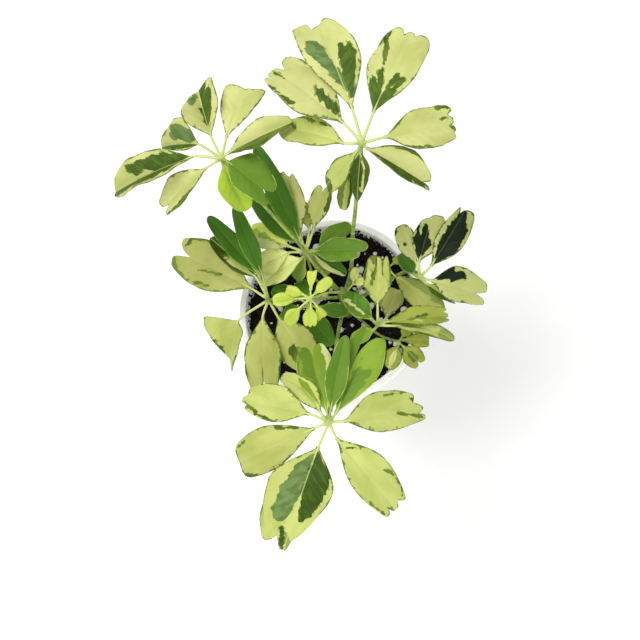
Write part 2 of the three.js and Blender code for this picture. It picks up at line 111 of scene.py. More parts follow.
def join(parts, name):
    """Several objects as one, under a new name."""
    deselect()
    for part in parts:
        part.select_set(True)
    bpy.context.view_layer.objects.active = parts[0]
    if len(parts) > 1:
        bpy.ops.object.join()
    piece = bpy.context.object
    piece.name = name
    piece.data.name = name
    return piece


def finish_piece(piece, material, slot, *nodes):
    """Gives a piece its material, lets it ride on the body and stand for its nodes."""
    piece.data.materials.clear()
    piece.data.materials.append(material)
    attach(piece, "root")
    if nodes:
        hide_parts(*nodes)
    print(f"{piece.name}: {len(piece.data.polygons)} faces")


# %% [markdown]
# ## The camera
# The plant is seen from almost straight above, turned a little to the right. The camera hangs about half
# a metre over the table, and the picture's upright keeps in line with +Y. A plain set of angles would turn
# the picture, so the camera's three directions are worked out as vectors.

# %% Camera
VIEW_AZIMUTH = 35.0  # degrees round from the front
VIEW_ELEVATION = 74.0  # degrees above level
VIEW_DISTANCE = 480  # mm from the point that it looks at
AIM = Vector((-5.6, -6.3, 88)) * MM
LENS = 48.6  # mm, on Blender's usual 36 mm sensor
NEAR_CLIP = 10  # mm


def place_camera():
    """The camera at its angle and distance, with +Y upright in the picture."""
    azimuth, elevation = math.radians(VIEW_AZIMUTH), math.radians(VIEW_ELEVATION)
    back = Vector((
        math.sin(azimuth) * math.cos(elevation),
        -math.cos(azimuth) * math.cos(elevation),
        math.sin(elevation),
    ))
    right = Vector((0, 1, 0)).cross(back).normalized()
    up = back.cross(right)
    turned = Matrix((right, up, back)).transposed().to_4x4()
    bpy.ops.object.camera_add()
    camera = bpy.context.object
    camera.name = "camera"
    camera.matrix_world = Matrix.Translation(AIM + back * (VIEW_DISTANCE * MM)) @ turned
    camera.data.lens = LENS
    camera.data.clip_start = NEAR_CLIP * MM
    bpy.context.scene.camera = camera
    print("camera at", [round(v, 3) for v in camera.matrix_world.translation])


deselect()
place_camera()

# %% [markdown]
# ## Colours and nodes
# A colour is written as it looks on a screen and turned into linear light, which is what a shader works
# in. A material is a tree of nodes, and drawing it by mouse would leave nothing to read. Here one small
# function adds any node, sets it and feeds its inputs, so a tree reads from top to bottom like a recipe.
# A Map Range with its From Min above its From Max falls where it would otherwise rise.

# %% Colours and nodes
SMOOTH = {"interpolation_type": "SMOOTHSTEP"}  # a Map Range that starts and ends softly


def linear(hex_colour):
    """An sRGB hex colour as linear red, green, blue and alpha."""
    values = [int(hex_colour[i:i + 2], 16) / 255 for i in (1, 3, 5)]
    return [v / 12.92 if v <= 0.04045 else ((v + 0.055) / 1.055) ** 2.4 for v in values] + [1.0]


def add(tree, kind, inputs, **settings):
    """One node. An input takes a value, a socket, or a node, whose first output in use feeds it."""
    node = tree.nodes.new("ShaderNode" + kind)
    for name, value in settings.items():
        setattr(node, name, value)
    for key, source in inputs.items():
        if isinstance(source, bpy.types.Node):
            source = next(output for output in source.outputs if output.enabled)
        if isinstance(source, bpy.types.NodeSocket):
            tree.links.new(source, node.inputs[key])
        else:
            node.inputs[key].default_value = source
    return node


def new_material(name):
    """A material without nodes, and the tree to build them in."""
    material = bpy.data.materials.new(name)
    material.use_nodes = True
    material.node_tree.nodes.clear()
    return material, material.node_tree


print("mid grey in linear light:", round(linear("#808080")[0], 3))

# %% [markdown]
# ## Floor and light
# The floor is matt white paper: pressed fibres that scatter light evenly, so it has a roughness near 1 and
# no pattern that shows at this distance. A pale sky fills the shadows. One large soft panel high on the
# left gives the leaves their form, and a wider, weaker one at the front lifts the near sides. Big panels
# make soft shadows, which suits thin leaves that lie over each other.

# %% Floor and light
FLOOR_SIZE = 6.0  # metres, so that its edge lies outside every view
SKY_STRENGTH = 0.72


def make_floor():
    """A wide sheet of white paper that isn't part of the plant."""
    bpy.ops.mesh.primitive_plane_add(size=FLOOR_SIZE)
    floor = bpy.context.object
    floor.name = "floor"
    material, tree = new_material("matt_white_paper")
    paper = add(tree, "BsdfPrincipled", {"Base Color": linear("#F7F7F5"), "Roughness": 0.9})
    add(tree, "OutputMaterial", {"Surface": paper})
    floor.data.materials.append(material)


def make_panel(name, place, size, power):
    """A round soft light that faces the plant: place and size in metres, power in watts."""
    bpy.ops.object.light_add(type="AREA", location=place)
    panel = bpy.context.object
    panel.name = name
    panel.data.shape = "DISK"
    panel.data.size = size
    panel.data.energy = power
    panel.rotation_euler = (Vector(place) - AIM).to_track_quat("Z", "Y").to_euler()


def make_sky():
    """An even, very slightly cool sky."""
    world = bpy.data.worlds.new("pale_sky")
    bpy.context.scene.world = world
    world.use_nodes = True
    background = world.node_tree.nodes["Background"]
    background.inputs["Color"].default_value = linear("#FDFEFF")
    background.inputs["Strength"].default_value = SKY_STRENGTH


deselect()
make_floor()
make_panel("key_panel", (-0.6, 0.3, 1.4), 0.9, 12)
make_panel("fill_panel", (0.3, -1.25, 1.0), 1.3, 9)
make_sky()
bpy.context.scene.view_settings.view_transform = "Standard"

# %% [markdown]
# ## What a leaflet is made of
# No two leaflets have quite the same outline. Each could be traced as a curve of its own, but a few shares
# say as much: where it is widest, how broad it stays at its end, and how far its end reaches from the
# left edge to the right, where a dip is a notch and a rise is a lobe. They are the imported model's own
# numbers, so a fine blade lies exactly where its plain one was.

# %% Outlines
# The widest place, the width left at the end on the left and right, the left half's share of the width,
# and the end's reach from left to right.
OUTLINES = {
    "oval": (0.52, (0.72, 0.72), 0.5, [0.82, 0.96, 1, 0.96, 0.82]),
    "point": (0.45, (0.56, 0.56), 0.5, [0.7, 0.89, 1, 0.89, 0.7]),
    "blunt": (0.64, (0.84, 0.84), 0.5, [0.86, 0.98, 1, 0.98, 0.86]),
    "cut": (0.7, (0.9, 0.9), 0.5, [0.94, 0.99, 1, 1, 0.95]),
    "notched": (0.66, (0.84, 0.84), 0.5, [0.82, 0.97, 0.98, 0.83, 0.99, 0.98, 0.84]),
    "toothed": (0.66, (0.86, 0.86), 0.5, [0.82, 0.94, 0.87, 1, 0.9, 0.95, 0.82]),
    "horned_left": (0.68, (0.97, 0.74), 0.5, [1.18, 1.13, 0.9, 0.93, 0.98, 0.92, 0.8]),
    "frilled": (0.66, (0.86, 0.9), 0.5, [0.86, 0.97, 1, 0.93, 1.01, 0.95, 1, 0.99, 0.95]),
    "two_steps": (0.6, (0.86, 0.92), 0.46, [0.84, 0.97, 0.93, 1.07, 1.03, 0.87, 0.98, 0.97, 0.84]),
    "folded_tip": (0.64, (0.7, 0.8), 0.6, [0.84, 0.95, 0.98, 0.9, 1.02, 1.06, 0.96]),
    "slanted_left": (0.62, (0.8, 0.72), 0.5, [0.88, 0.97, 1, 0.96, 0.88]),
    "club": (0.74, (0.86, 0.8), 0.62, [0.92, 1, 1, 0.94, 0.84]),
    "slanted_right": (0.6, (0.62, 0.98), 0.52, [0.74, 0.82, 0.89, 0.95, 0.98]),
    "wedge": (0.86, (0.94, 1.04), 0.5, [0.94, 0.95, 0.93, 0.97, 1.05]),
    "late_oval": (0.66, (0.7, 0.7), 0.46, [0.86, 0.98, 1, 0.95, 0.8]),
    "narrow_lobe": (0.42, (0.74, 0.74), 0.58, [0.82, 0.93, 0.95, 0.78, 0.88, 1.04, 1.02]),
    "shoulder": (0.3, (0.5, 0.42), 0.26, [0.84, 0.96, 1, 0.94, 0.8]),
    "beaked": (0.62, (0.76, 0.8), 0.42, [0.84, 0.92, 0.9, 1.04, 0.92, 0.9, 0.8]),
    "scalloped": (0.64, (0.94, 0.8), 0.49, [0.95, 1, 0.92, 1.02, 0.96, 1.02, 0.95, 0.98, 0.88]),
    "paired": (0.64, (0.84, 0.84), 0.48, [0.86, 0.98, 1, 0.88, 1, 1, 0.9]),
    "bitten": (0.66, (0.84, 0.82), 0.56, [0.84, 0.98, 0.93, 1.03, 0.95, 1.01, 0.9]),
    "hooked": (0.62, (0.84, 0.82), 0.56, [0.8, 0.9, 0.88, 1, 0.93, 1.03, 0.84]),
    "tongue": (0.56, (0.6, 0.86), 0.45, [0.68, 0.8, 0.88, 1.03, 0.88, 0.96, 0.84]),
    "forked": (0.74, (0.86, 0.84), 0.42, [0.9, 1.02, 0.62, 0.84, 0.92, 0.93, 0.84]),
    "flag": (0.18, (0.3, -0.8), 0.24, [0.8, 0.95, 1, 0.95, 0.8]),
    "left_peak": (0.6, (0.74, 0.7), 0.48, [0.88, 1.02, 1.02, 0.93, 0.88, 0.92, 0.82]),
    "right_step": (0.6, (0.76, 0.8), 0.5, [0.84, 0.97, 1, 0.97, 0.8, 0.86, 0.76]),
    "right_full": (0.62, (0.7, 0.86), 0.42, [0.78, 0.86, 0.9, 0.97, 1.01, 1, 0.88]),
    "shouldered": (0.6, (0.66, 0.86), 0.42, [0.86, 0.99, 0.9, 0.98, 1, 0.98, 0.86]),
    "deep_split": (0.5, (0.8, 0.8), 0.6, [0.86, 0.97, 0.99, 0.8, 0.97, 1, 0.88]),
    "comb": (0.7, (0.9, 0.9), 0.5, [0.76, 0.95, 0.82, 1.02, 0.84, 1, 0.8]),
    "cleft": (0.62, (0.84, 0.84), 0.5, [0.86, 0.97, 0.99, 0.78, 0.95, 0.99, 0.88]),
}
print(len(OUTLINES), "outlines")

# %% [markdown]
# ## Leaf colours
# The plant has leaves of every age. Young ones are bright yellow-green, grown ones are cream
# with green patches or plain green. Leaflets that lie in shade get duller kinds, which paint their shade
# into the colour, and a few get lighter kinds that paint light. A material for each kind would repeat the
# same tree fourteen times, so the kinds are a table, and the blades carry their colours to one material.

# %% Leaf colours
# Ground, patch and rim colours of each kind of leaf, and how strong its rim line, the blotches on its rim
# and its veins are.
TONES = {
    "ivory": ("#CED184", "#465F16", "#566C1C", 0.8, 1, 0.6),
    "cream": ("#C2CA72", "#364F0A", "#4E6618", 0.8, 0.7, 0.6),
    "pale": ("#BEC46C", "#3C6012", "#506A18", 0.8, 1, 0.5),
    "khaki": ("#AEB260", "#42621A", "#4A6A1A", 0.7, 0.9, 0.4),
    "yellow_lime": ("#A2BC38", "#7FA22E", "#CFDC74", 0.6, 0, 0.15),
    "lime": ("#88A634", "#3F6C18", "#C4D668", 0.6, 0, 0.15),
    # These two grounds are lighter than a leaf's own colour: painted light for leaflets that lie in shade.
    "painted_sunlit": ("#E6F078", "#8FAE38", "#8AA23C", 0.4, 0, 0.3),
    "bright": ("#EEF39C", "#7A9A30", "#8AA23C", 0.4, 0.3, 0.4),
    "olive": ("#A0A946", "#42621A", "#4A6A1A", 0.7, 0.6, 0.5),
    "mid": ("#688C28", "#527E1E", "#C0D46A", 0.8, 0, 0.1),
    "dark": ("#45721A", "#2C520E", "#A8C44C", 0.5, 0, 0.12),
    "fresh": ("#527E20", "#3C6614", "#B4CC5C", 0.7, 0, 0.12),
    # This patch colour is near black: the leaves' own dark green with painted shade in it.
    "deep": ("#BEC478", "#0F1E0A", "#30421A", 0.8, 0.8, 0.1),
    "young": ("#C8D65A", "#9CBC34", "#A9BC3E", 0.7, 0.5, 0.4),
}
print(len(TONES), "kinds of leaf")

# %% [markdown]
# ## The leaf finish: what the blades carry
# The finish is a waxy leaf. A thin film of wax grew over the leaf's skin, which gives the eye a soft,
# broad sheen and no mirror image. Painted pictures of patches would need one for each leaflet. Instead
# every blade carries numbers at its points: millimetres across and along it, millimetres along and
# across its side veins, and how deep inside each kind of patch the point lies. One material reads them,
# so midribs, veins and rims have their real widths on leaflets of every size.

# %% What the blades carry
CARRIED = {  # each vector's name, and what its three parts are
    "leaf_mm": ("across", "along", "margin"),
    "leaf_vein": ("along_veins", "across_veins", "number"),
    "leaf_marks": ("dark", "grey", "green"),
    "leaf_spots": ("cream", "half", "brown"),
    "leaf_lines": ("rim_strength", "blotches", "vein_strength"),
}
CARRIED_COLOURS = ("leaf_ground", "leaf_patch", "leaf_rim")

LEAF, leaf = new_material("waxy_variegated_leaf")  # the material, and its tree
carried = {"underside": add(leaf, "Attribute", {}, attribute_name="leaf_side").outputs["Fac"]}
for vector_name in (*CARRIED, *CARRIED_COLOURS):
    carried[vector_name] = add(leaf, "Attribute", {}, attribute_name=vector_name).outputs["Vector"]
for vector_name, part_names in CARRIED.items():
    parts = add(leaf, "SeparateXYZ", {0: carried[vector_name]})
    carried.update(zip(part_names, parts.outputs))
print("the leaf material reads", ", ".join(carried))

# %% [markdown]
# ## The leaf finish: side veins and strips
# Side veins leave the midrib every 3.1 mm, and the strips of leaf between them often keep one colour. A
# slow wobble bends the veins a little, as no leaf is ruled with a straight edge. A wave texture could draw
# the veins, but folding a distance in mm back and forth keeps their gap true. Each strip then gets a
# random number of its own, once for wide strips and once for narrow ones.

# %% Side veins and strips
SIDE_VEIN_GAP = 3.1  # mm
STRIP_WIDTH = 1.9  # mm, one prong of a patch
NARROW_STRIP = 0.76  # mm
WOBBLE = 1.6  # mm, how far side veins bend
SIDE_STEP = 5.5  # sets the strips of the left half apart from those of the right
LEAF_STEP = 17.17  # and those of one leaflet from those of the next


def grain(place, per_mm, detail, roughness=0.5):
    """A grown, cloudy pattern. per_mm has its cycles per mm both ways, and a step from leaflet to leaflet."""
    scaled = add(leaf, "VectorMath", {0: place, 1: per_mm}, operation="MULTIPLY")
    return add(leaf, "TexNoise", {"Vector": scaled, "Scale": 1.0, "Detail": detail, "Roughness": roughness})


def random_strips(width):
    """One random number for each strip of that width, different on each half of each leaflet."""
    strip = add(leaf, "Math", {0: vein_place, 1: width}, operation="DIVIDE")
    strip = add(leaf, "Math", {0: strip}, operation="FLOOR")
    strip = add(leaf, "Math", {0: side, 1: SIDE_STEP, 2: strip}, operation="MULTIPLY_ADD")
    strip = add(leaf, "Math", {0: carried["number"], 1: LEAF_STEP, 2: strip}, operation="MULTIPLY_ADD")
    return add(leaf, "TexWhiteNoise", {"W": strip}, noise_dimensions="1D")


bends = grain(carried["leaf_vein"], (0.25, 0.4, 1.9), 2.0)  # 4 mm along the veins, 2.5 mm across
vein_place = add(leaf, "Math", {0: bends, 1: WOBBLE, 2: carried["across_veins"]}, operation="MULTIPLY_ADD")
side = add(leaf, "Math", {0: carried["across"]}, operation="SIGN")
wide_strips = random_strips(STRIP_WIDTH)
narrow_strips = random_strips(NARROW_STRIP)
print("side veins:", len(leaf.nodes), "nodes so far")

# %% [markdown]
# ## The leaf finish: ragged edges
# A patch is one family of cells that grew outward along the veins, so its edge is a comb of blunt prongs
# with finer teeth on them. The edge isn't drawn. The depth that the blade carries is pushed in and out by
# three patterns, and the patch shows wherever the sum is above nought.

# %% Ragged edges
PRONG_PUSH = 1.5  # how far each pattern moves an edge, as depths of a mark
STRIP_PUSH = 0.22
TOOTH_PUSH = 0.45
SHARP = 0.05  # half the width of a crisp edge, as a depth

prongs = grain(carried["leaf_vein"], (0.1, 0.36, 3.7), 1.0)  # 10 mm long, 2.8 mm wide
teeth = grain(carried["leaf_vein"], (0.5, 1.5, 8.3), 2.0)  # 2 mm long, 0.7 mm wide
ragged = -(PRONG_PUSH + STRIP_PUSH + TOOTH_PUSH) / 2  # so that an edge moves out as often as in
for pattern, push in ((prongs, PRONG_PUSH), (wide_strips, STRIP_PUSH), (teeth, TOOTH_PUSH)):
    ragged = add(leaf, "Math", {0: pattern, 1: push, 2: ragged}, operation="MULTIPLY_ADD")


def inside(depth, push=ragged, share=1.0, softness=SHARP):
    """1 inside a mark and 0 outside it, with its ragged edge between."""
    pushed = add(leaf, "Math", {0: push, 1: share, 2: depth}, operation="MULTIPLY_ADD")
    return add(leaf, "MapRange", {"Value": pushed, "From Min": -softness, "From Max": softness}, **SMOOTH)


print("ragged edges:", len(leaf.nodes), "nodes so far")

# %% [markdown]
# ## The leaf finish: the ground colour
# Even a plain leaf isn't one flat colour. Cells with more green lie in soft clouds about 9 mm wide and
# 20 mm long, and thin places look lighter. The clouds mix the blade's own colour with a deeper and a
# lighter shade of it.

# %% Ground colour
STRIP_SHIFT = 0.03  # how far the strips shift the clouds, which ends some of them at a side vein

on_leaf = add(leaf, "CombineXYZ", {0: carried["across"], 1: carried["along"], 2: carried["number"]})
clouds = grain(on_leaf, (0.11, 0.05, 5.3), 3.0)
cells = add(leaf, "Math", {0: wide_strips, 1: STRIP_SHIFT, 2: -STRIP_SHIFT / 2}, operation="MULTIPLY_ADD")
cells = add(leaf, "Math", {0: cells, 1: clouds}, operation="ADD")
ground, patch = carried["leaf_ground"], carried["leaf_patch"]

deeper = add(leaf, "VectorMath", {0: ground, 1: (0.7, 0.78, 0.48)}, operation="MULTIPLY")
green_clouds = add(
    leaf, "MapRange", {"Value": cells, "From Min": 0.46, "From Max": 0.66, "To Max": 0.5},
    **SMOOTH,
)
colour = add(leaf, "Mix", {0: green_clouds, 6: ground, 7: deeper}, data_type="RGBA")

lighter = add(leaf, "VectorMath", {0: ground, "Scale": 1.1}, operation="SCALE")
light_clouds = add(leaf, "MapRange", {"Value": cells, "From Min": 0.5, "From Max": 0.3}, **SMOOTH)
colour = add(leaf, "Mix", {0: light_clouds, 6: colour, 7: lighter}, data_type="RGBA")
plain_leaf = colour
print("ground colour:", len(leaf.nodes), "nodes so far")

# %% [markdown]
# ## The leaf finish: cream, green and grey patches
# Each layer of the leaf can be white or green on its own. Where only the outer one is white the green
# shines through greyish, and where the middle one is pale the leaf is half green. Cream areas are laid on
# first, then half green ones, fresh green at rims and tips, and last the grey-green.

# %% Cream, green and grey patches
half_green = add(leaf, "Mix", {0: 0.5, 6: ground, 7: patch}, data_type="RGBA")

fresh = add(leaf, "MapRange", {"Value": clouds, "From Min": 0.4, "From Max": 0.6}, **SMOOTH)
fresh = add(leaf, "Mix", {0: fresh, 6: linear("#54681A"), 7: linear("#728630")}, data_type="RGBA")

mottle = grain(carried["leaf_vein"], (0.16, 0.3, 6.1), 4.0, 0.6)  # 6 mm long, 3.3 mm wide
grey = add(leaf, "MapRange", {"Value": mottle, "From Min": 0.4, "From Max": 0.6}, **SMOOTH)
grey = add(leaf, "Mix", {0: grey, 6: linear("#758F51"), 7: linear("#5D793A")}, data_type="RGBA")

for depth, share, softness, paint in (
    (carried["cream"], 1.0, SHARP, linear("#D6DC92")),
    (carried["half"], 1.2, 0.1, half_green),
    (carried["green"], 1.0, SHARP, fresh),
    (carried["grey"], 1.0, SHARP, grey),
):
    shown = inside(depth, share=share, softness=softness)
    colour = add(leaf, "Mix", {0: shown, 6: colour, 7: paint}, data_type="RGBA")
print("patches:", len(leaf.nodes), "nodes so far")

# %% [markdown]
# ## The leaf finish: dark centres
# The dark fan in the middle of a leaflet is green through and through. Its prongs are the narrow strips,
# some of them lighter, and a thin grey-green fringe shows where its deepest layer runs out a little
# further than the rest.

# %% Dark centres
FRINGE_PUSH = 0.9  # how far the narrow strips move the fringe's edge, as depths of a mark
FRINGE_MIDDLE = 0.6  # strips whose number is above this reach out, and the others stay back

streaks = add(leaf, "Math", {0: narrow_strips, 1: 0.1, 2: mottle}, operation="MULTIPLY_ADD")
streaks = add(
    leaf, "MapRange", {"Value": streaks, "From Min": 0.5, "From Max": 0.68, "To Max": 0.4},
    **SMOOTH,
)
light_patch = add(leaf, "VectorMath", {0: patch, "Scale": 2.2}, operation="SCALE")
centre = add(leaf, "Mix", {0: streaks, 6: patch, 7: light_patch}, data_type="RGBA")

further = {0: narrow_strips, 1: FRINGE_PUSH, 2: -FRINGE_PUSH * FRINGE_MIDDLE}
further = add(leaf, "Math", further, operation="MULTIPLY_ADD")
further = add(leaf, "Math", {0: further, 1: ragged}, operation="ADD")
fringe = add(leaf, "Math", {0: inside(carried["dark"], further), 1: 0.8}, operation="MULTIPLY")
colour = add(leaf, "Mix", {0: fringe, 6: colour, 7: linear("#6C8440")}, data_type="RGBA")
colour = add(leaf, "Mix", {0: inside(carried["dark"]), 6: colour, 7: centre}, data_type="RGBA")
print("dark centres:", len(leaf.nodes), "nodes so far")

# %% [markdown]
# ## The leaf finish: veins
# The midrib is a pale line about 0.7 mm wide. The side veins are much fainter. They fade out before they
# reach the rim, and a deep green leaf hides them more than a cream one.

# %% Veins
MIDRIB_HALF = 0.34  # mm

off_rib = add(leaf, "Math", {0: carried["across"]}, operation="ABSOLUTE")
midrib = add(
    leaf, "MapRange", {"Value": off_rib, "From Min": MIDRIB_HALF * 1.5, "From Max": MIDRIB_HALF * 0.4},
    **SMOOTH,
)
midrib = add(leaf, "Math", {0: midrib, 1: carried["vein_strength"]}, operation="MULTIPLY")

off_vein = add(leaf, "Math", {0: vein_place, 1: SIDE_VEIN_GAP / 2}, operation="PINGPONG")
on_vein = add(leaf, "MapRange", {"Value": off_vein, "From Min": 0.3, "From Max": 0.04}, **SMOOTH)  # mm
off_rim = add(leaf, "MapRange", {"Value": carried["margin"], "From Min": 0.8, "From Max": 2.4}, **SMOOTH)
side_veins = add(leaf, "Math", {0: on_vein, 1: off_rim}, operation="MULTIPLY")
faint = add(leaf, "Math", {0: carried["vein_strength"], 1: 0.1}, operation="MULTIPLY")
faint = add(leaf, "Math", {0: faint, 1: side_veins}, operation="MULTIPLY")

pale_vein = add(leaf, "Mix", {0: 0.45, 6: plain_leaf, 7: linear("#CBD58A")}, data_type="RGBA")
for strength in (faint, midrib):
    colour = add(leaf, "Mix", {0: strength, 6: colour, 7: pale_vein}, data_type="RGBA")
print("veins:", len(leaf.nodes), "nodes so far")

# %% [markdown]
# ## The leaf finish: the rim
# A thin darker line follows the rim. It breaks off in places and swells to blotches up to 1.9 mm deep in
# others. A pattern about 2.4 mm in size decides how far in the line reaches at each place.

# %% Rim
RIM_REACH = 0.45  # mm
BLOTCH_REACH = 1.3  # mm

breaks = add(leaf, "TexNoise", {"Vector": on_leaf, "Scale": 0.42, "Detail": 3.0, "Roughness": 0.6})
line = add(
    leaf, "MapRange", {"Value": breaks, "From Min": 0.42, "From Max": 0.62, "To Max": RIM_REACH},
    **SMOOTH,
)
more = add(leaf, "Math", {0: carried["blotches"], 1: 0.4}, operation="ADD")
line = add(leaf, "Math", {0: line, 1: more}, operation="MULTIPLY")
swelling = add(
    leaf, "MapRange", {"Value": breaks, "From Min": 0.6, "From Max": 0.75, "To Max": BLOTCH_REACH},
    **SMOOTH,
)
reach = add(leaf, "Math", {0: swelling, 1: carried["blotches"], 2: line}, operation="MULTIPLY_ADD")

past_line = add(leaf, "Math", {0: carried["margin"], 1: reach}, operation="SUBTRACT")
rim = add(leaf, "MapRange", {"Value": past_line, "From Min": 0.2, "From Max": 0.0}, **SMOOTH)
rim = add(leaf, "Math", {0: rim, 1: carried["rim_strength"]}, operation="MULTIPLY")
colour = add(leaf, "Mix", {0: rim, 6: colour, 7: carried["leaf_rim"]}, data_type="RGBA")
print("rim:", len(leaf.nodes), "nodes so far")

# %% [markdown]
# ## The leaf finish: spots, underside and wax
# Dry brown spots are laid over everything, and the underside is duller and paler. Leaf wax has an IOR of
# about 1.45 and a roughness of 0.4 to 0.54. The sky is bright here, so its mirror part is turned down to
# match. Skin cells are about 0.03 mm wide, too fine to show, so the grain is drawn at 0.4 mm. A little
# light passes through the thin blade.

# %% Spots, underside and wax
GRAIN_PER_MM = 2.6
RELIEF = 0.4  # mm
SHINE_THROUGH = 0.14

spots = inside(carried["brown"], share=0.3, softness=0.1)
colour = add(leaf, "Mix", {0: spots, 6: colour, 7: linear("#5A3D20")}, data_type="RGBA")
dull = add(leaf, "Mix", {0: 0.4, 6: colour, 7: linear("#A3AF6E")}, data_type="RGBA")
colour = add(leaf, "Mix", {0: carried["underside"], 6: colour, 7: dull}, data_type="RGBA")

skin_grain = add(leaf, "TexNoise", {"Vector": on_leaf, "Scale": GRAIN_PER_MM})
relief = add(leaf, "Math", {0: skin_grain, 1: 0.5}, operation="MULTIPLY")
relief = add(leaf, "Math", {0: side_veins, 1: -0.6, 2: relief}, operation="MULTIPLY_ADD")
bump = add(leaf, "Bump", {"Strength": 0.2, "Distance": RELIEF * MM, "Height": relief})
gloss = add(leaf, "Math", {0: skin_grain, 1: 0.14, 2: 0.4}, operation="MULTIPLY_ADD")
wax = add(leaf, "BsdfPrincipled", {
    "Base Color": colour, "Roughness": gloss, "Normal": bump, "IOR": 1.45, "Specular IOR Level": 0.18,
})
through = add(leaf, "BsdfTranslucent", {"Color": colour})
leaf_body = add(leaf, "MixShader", {0: SHINE_THROUGH, 1: wax, 2: through})
add(leaf, "OutputMaterial", {"Surface": leaf_body})
print("leaf material:", len(leaf.nodes), "nodes")

# %% [markdown]
# ## The blades: outline
# A blade starts as a flat grid from the Add menu. Its columns run from the left edge (t = 1) over the
# midrib (t = 0) to the right edge (t = -1), and its rows from the root (u = 0) to the end (u = 1). No
# operator bends a sheet by a midrib, a fold and a notched outline at once, so its points are placed by
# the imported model's own formula, with many more rows. First comes the outline in the flat.

# %% Outline of a blade
END_SLOPE = 1.4  # how steeply the end runs on past its first and last knot
NOTCH_SLOPE = 1.7  # sharpness of a notch's foot
CORNER_ROUNDING = 0.06  # share of the length that the outer corners lose
ROOT_HALF = 0.8  # mm, no blade is narrower than this


def end_reach(knots, t):
    """Smooth reach from the left edge to the right edge: round lobes, sharp notches."""
    knots = np.array(knots[::-1], float)
    steps = np.diff(knots)
    last = len(knots) - 1
    before, after = np.empty(last + 1), np.empty(last + 1)
    for i in range(last + 1):
        left = steps[i - 1] if i > 0 else steps[0] * END_SLOPE
        right = steps[i] if i < last else steps[-1] * END_SLOPE
        if left < 0 < right:
            before[i], after[i] = NOTCH_SLOPE * left, NOTCH_SLOPE * right
        elif left * right <= 0:
            before[i] = after[i] = 0
        else:
            before[i] = after[i] = 2 * left * right / (left + right)
    place = np.clip((t + 1) / 2 * last, 0, last - 1e-9)
    i = place.astype(int)
    f = place - i
    reach = (2 * f**3 - 3 * f**2 + 1) * knots[i] + (f**3 - 2 * f**2 + f) * after[i]
    reach += (3 * f**2 - 2 * f**3) * knots[i + 1] + (f**3 - f**2) * before[i + 1]
    return reach * (1 - CORNER_ROUNDING * t**12)


def width_share(widest, end, u):
    """Share of the full half width at shares u of the length."""
    early = np.sin(np.pi / 2 * np.clip(u / widest, 0, 1)) ** 1.15
    past = np.clip((u - widest) / (1 - widest), 0, 1)
    return np.where(u < widest, early, 1 - (1 - end) * past**2)


def half_width(width, outline, t, u):
    """Half widths in mm: the left half (t > 0) and the right half of a blade differ."""
    widest, ends, lean, _ = OUTLINES[outline]
    end = np.where(t > 0, ends[0], ends[1])
    share = np.where(t > 0, lean, 1 - lean)
    return np.maximum(width * share * width_share(widest, end, u), ROOT_HALF)


quarter_up = 2 * float(half_width(20, "oval", 1.0, 0.25))
print("an oval 20 mm wide is", round(quarter_up, 1), "mm wide a quarter of the way up")

# %% [markdown]
# ## The blades: the midrib's line
# Seen from the side a leaflet arches like a thrown ball, and seen from above it may sweep to one side. The
# midrib's line is stepped along its turning direction, and it gives each row of the blade its left and up.

# %% Midrib's line
def direction(heading, rise):
    """Unit vectors for headings and rises in degrees, one row each."""
    h, r = np.radians(heading), np.radians(rise)
    return np.stack([np.cos(r) * np.cos(h), np.cos(r) * np.sin(h), np.sin(r)], axis=-1)


class Rib:
    """A leaflet's midrib: its places and frames at shares of its length."""

    STEPS = 60

    def __init__(self, root, sizes):
        self.heading, _, self.rise, _, reach, _, self.arch, self.sweep, roll, _ = sizes
        half = max(math.radians(self.arch) / 2, 0.01)
        self.length = reach * half / math.sin(half)
        self.roll = math.radians(roll)
        middles = (np.arange(self.STEPS) + 0.5) / self.STEPS
        moves = self.along(middles) * self.length / self.STEPS
        self.places = np.vstack([root, root + np.cumsum(moves, axis=0)])

    def turns(self, s):
        """Heading and rise, in degrees."""
        return self.heading + self.sweep * (s - 0.5), self.rise + self.arch * (0.5 - s)

    def along(self, s):
        """Unit vectors along the midrib."""
        return direction(*self.turns(s))

    def place(self, s):
        """Points on the midrib, in mm."""
        knots = np.linspace(0, 1, self.STEPS + 1)
        return np.stack([np.interp(s, knots, self.places[:, k]) for k in range(3)], axis=-1)

    def frame(self, s):
        """Left and up, one row for each share."""
        heading, _ = self.turns(s)
        left = direction(heading + 90, np.zeros_like(s))
        up = np.cross(self.along(s), left)
        c, k = math.cos(self.roll), math.sin(self.roll)
        return left * c + up * k, up * c - left * k


print("a midrib is stepped in", Rib.STEPS, "pieces")

# %% [markdown]
# ## The blades: where the marks lie
# Marks are laid down as a maker would paint them. A box fills part of the length and of the width, for a
# green half or a dark margin, and a stroke runs from one point to another like a brush, for one prong of
# a patch. For each tone a point keeps the depth inside its deepest mark, and the leaf finish does the rest.

# %% Marks
VEIN_ANGLE = math.radians(52)  # between the midrib and the side veins
STROKE_SCALE = 2.4  # mm inside a stroke that count as a depth of 1
OUTSIDE = -1.5  # the depth far from any mark
NEAR_RIB = 0.3  # a box that starts closer to the midrib than this ends along it


def box_depth(mark, s, t, slant):
    """Depth inside a mark given as a box in shares of the length and of the half width."""
    _, s0, s1, t0, t1 = mark
    inner, outer = sorted((abs(t0), abs(t1)))
    one_sided = t0 * t1 >= 0 and inner < NEAR_RIB
    along = np.abs(s - slant * one_sided - (s0 + s1) / 2) / ((s1 - s0) / 2)
    if not one_sided:
        across = np.abs(t - (t0 + t1) / 2) / ((t1 - t0) / 2)
        return 1 - (along**3 + across**3) ** (1 / 2)
    # Such a mark ends sharply at the midrib and raggedly at its outer edge.
    across = np.clip((np.abs(t) - inner) / (outer - inner), 0, None)
    on_side = np.sign(t0 + t1) * t > inner - 0.01
    return np.where(on_side, 1 - (along**3 + across**3) ** (1 / 2), OUTSIDE)


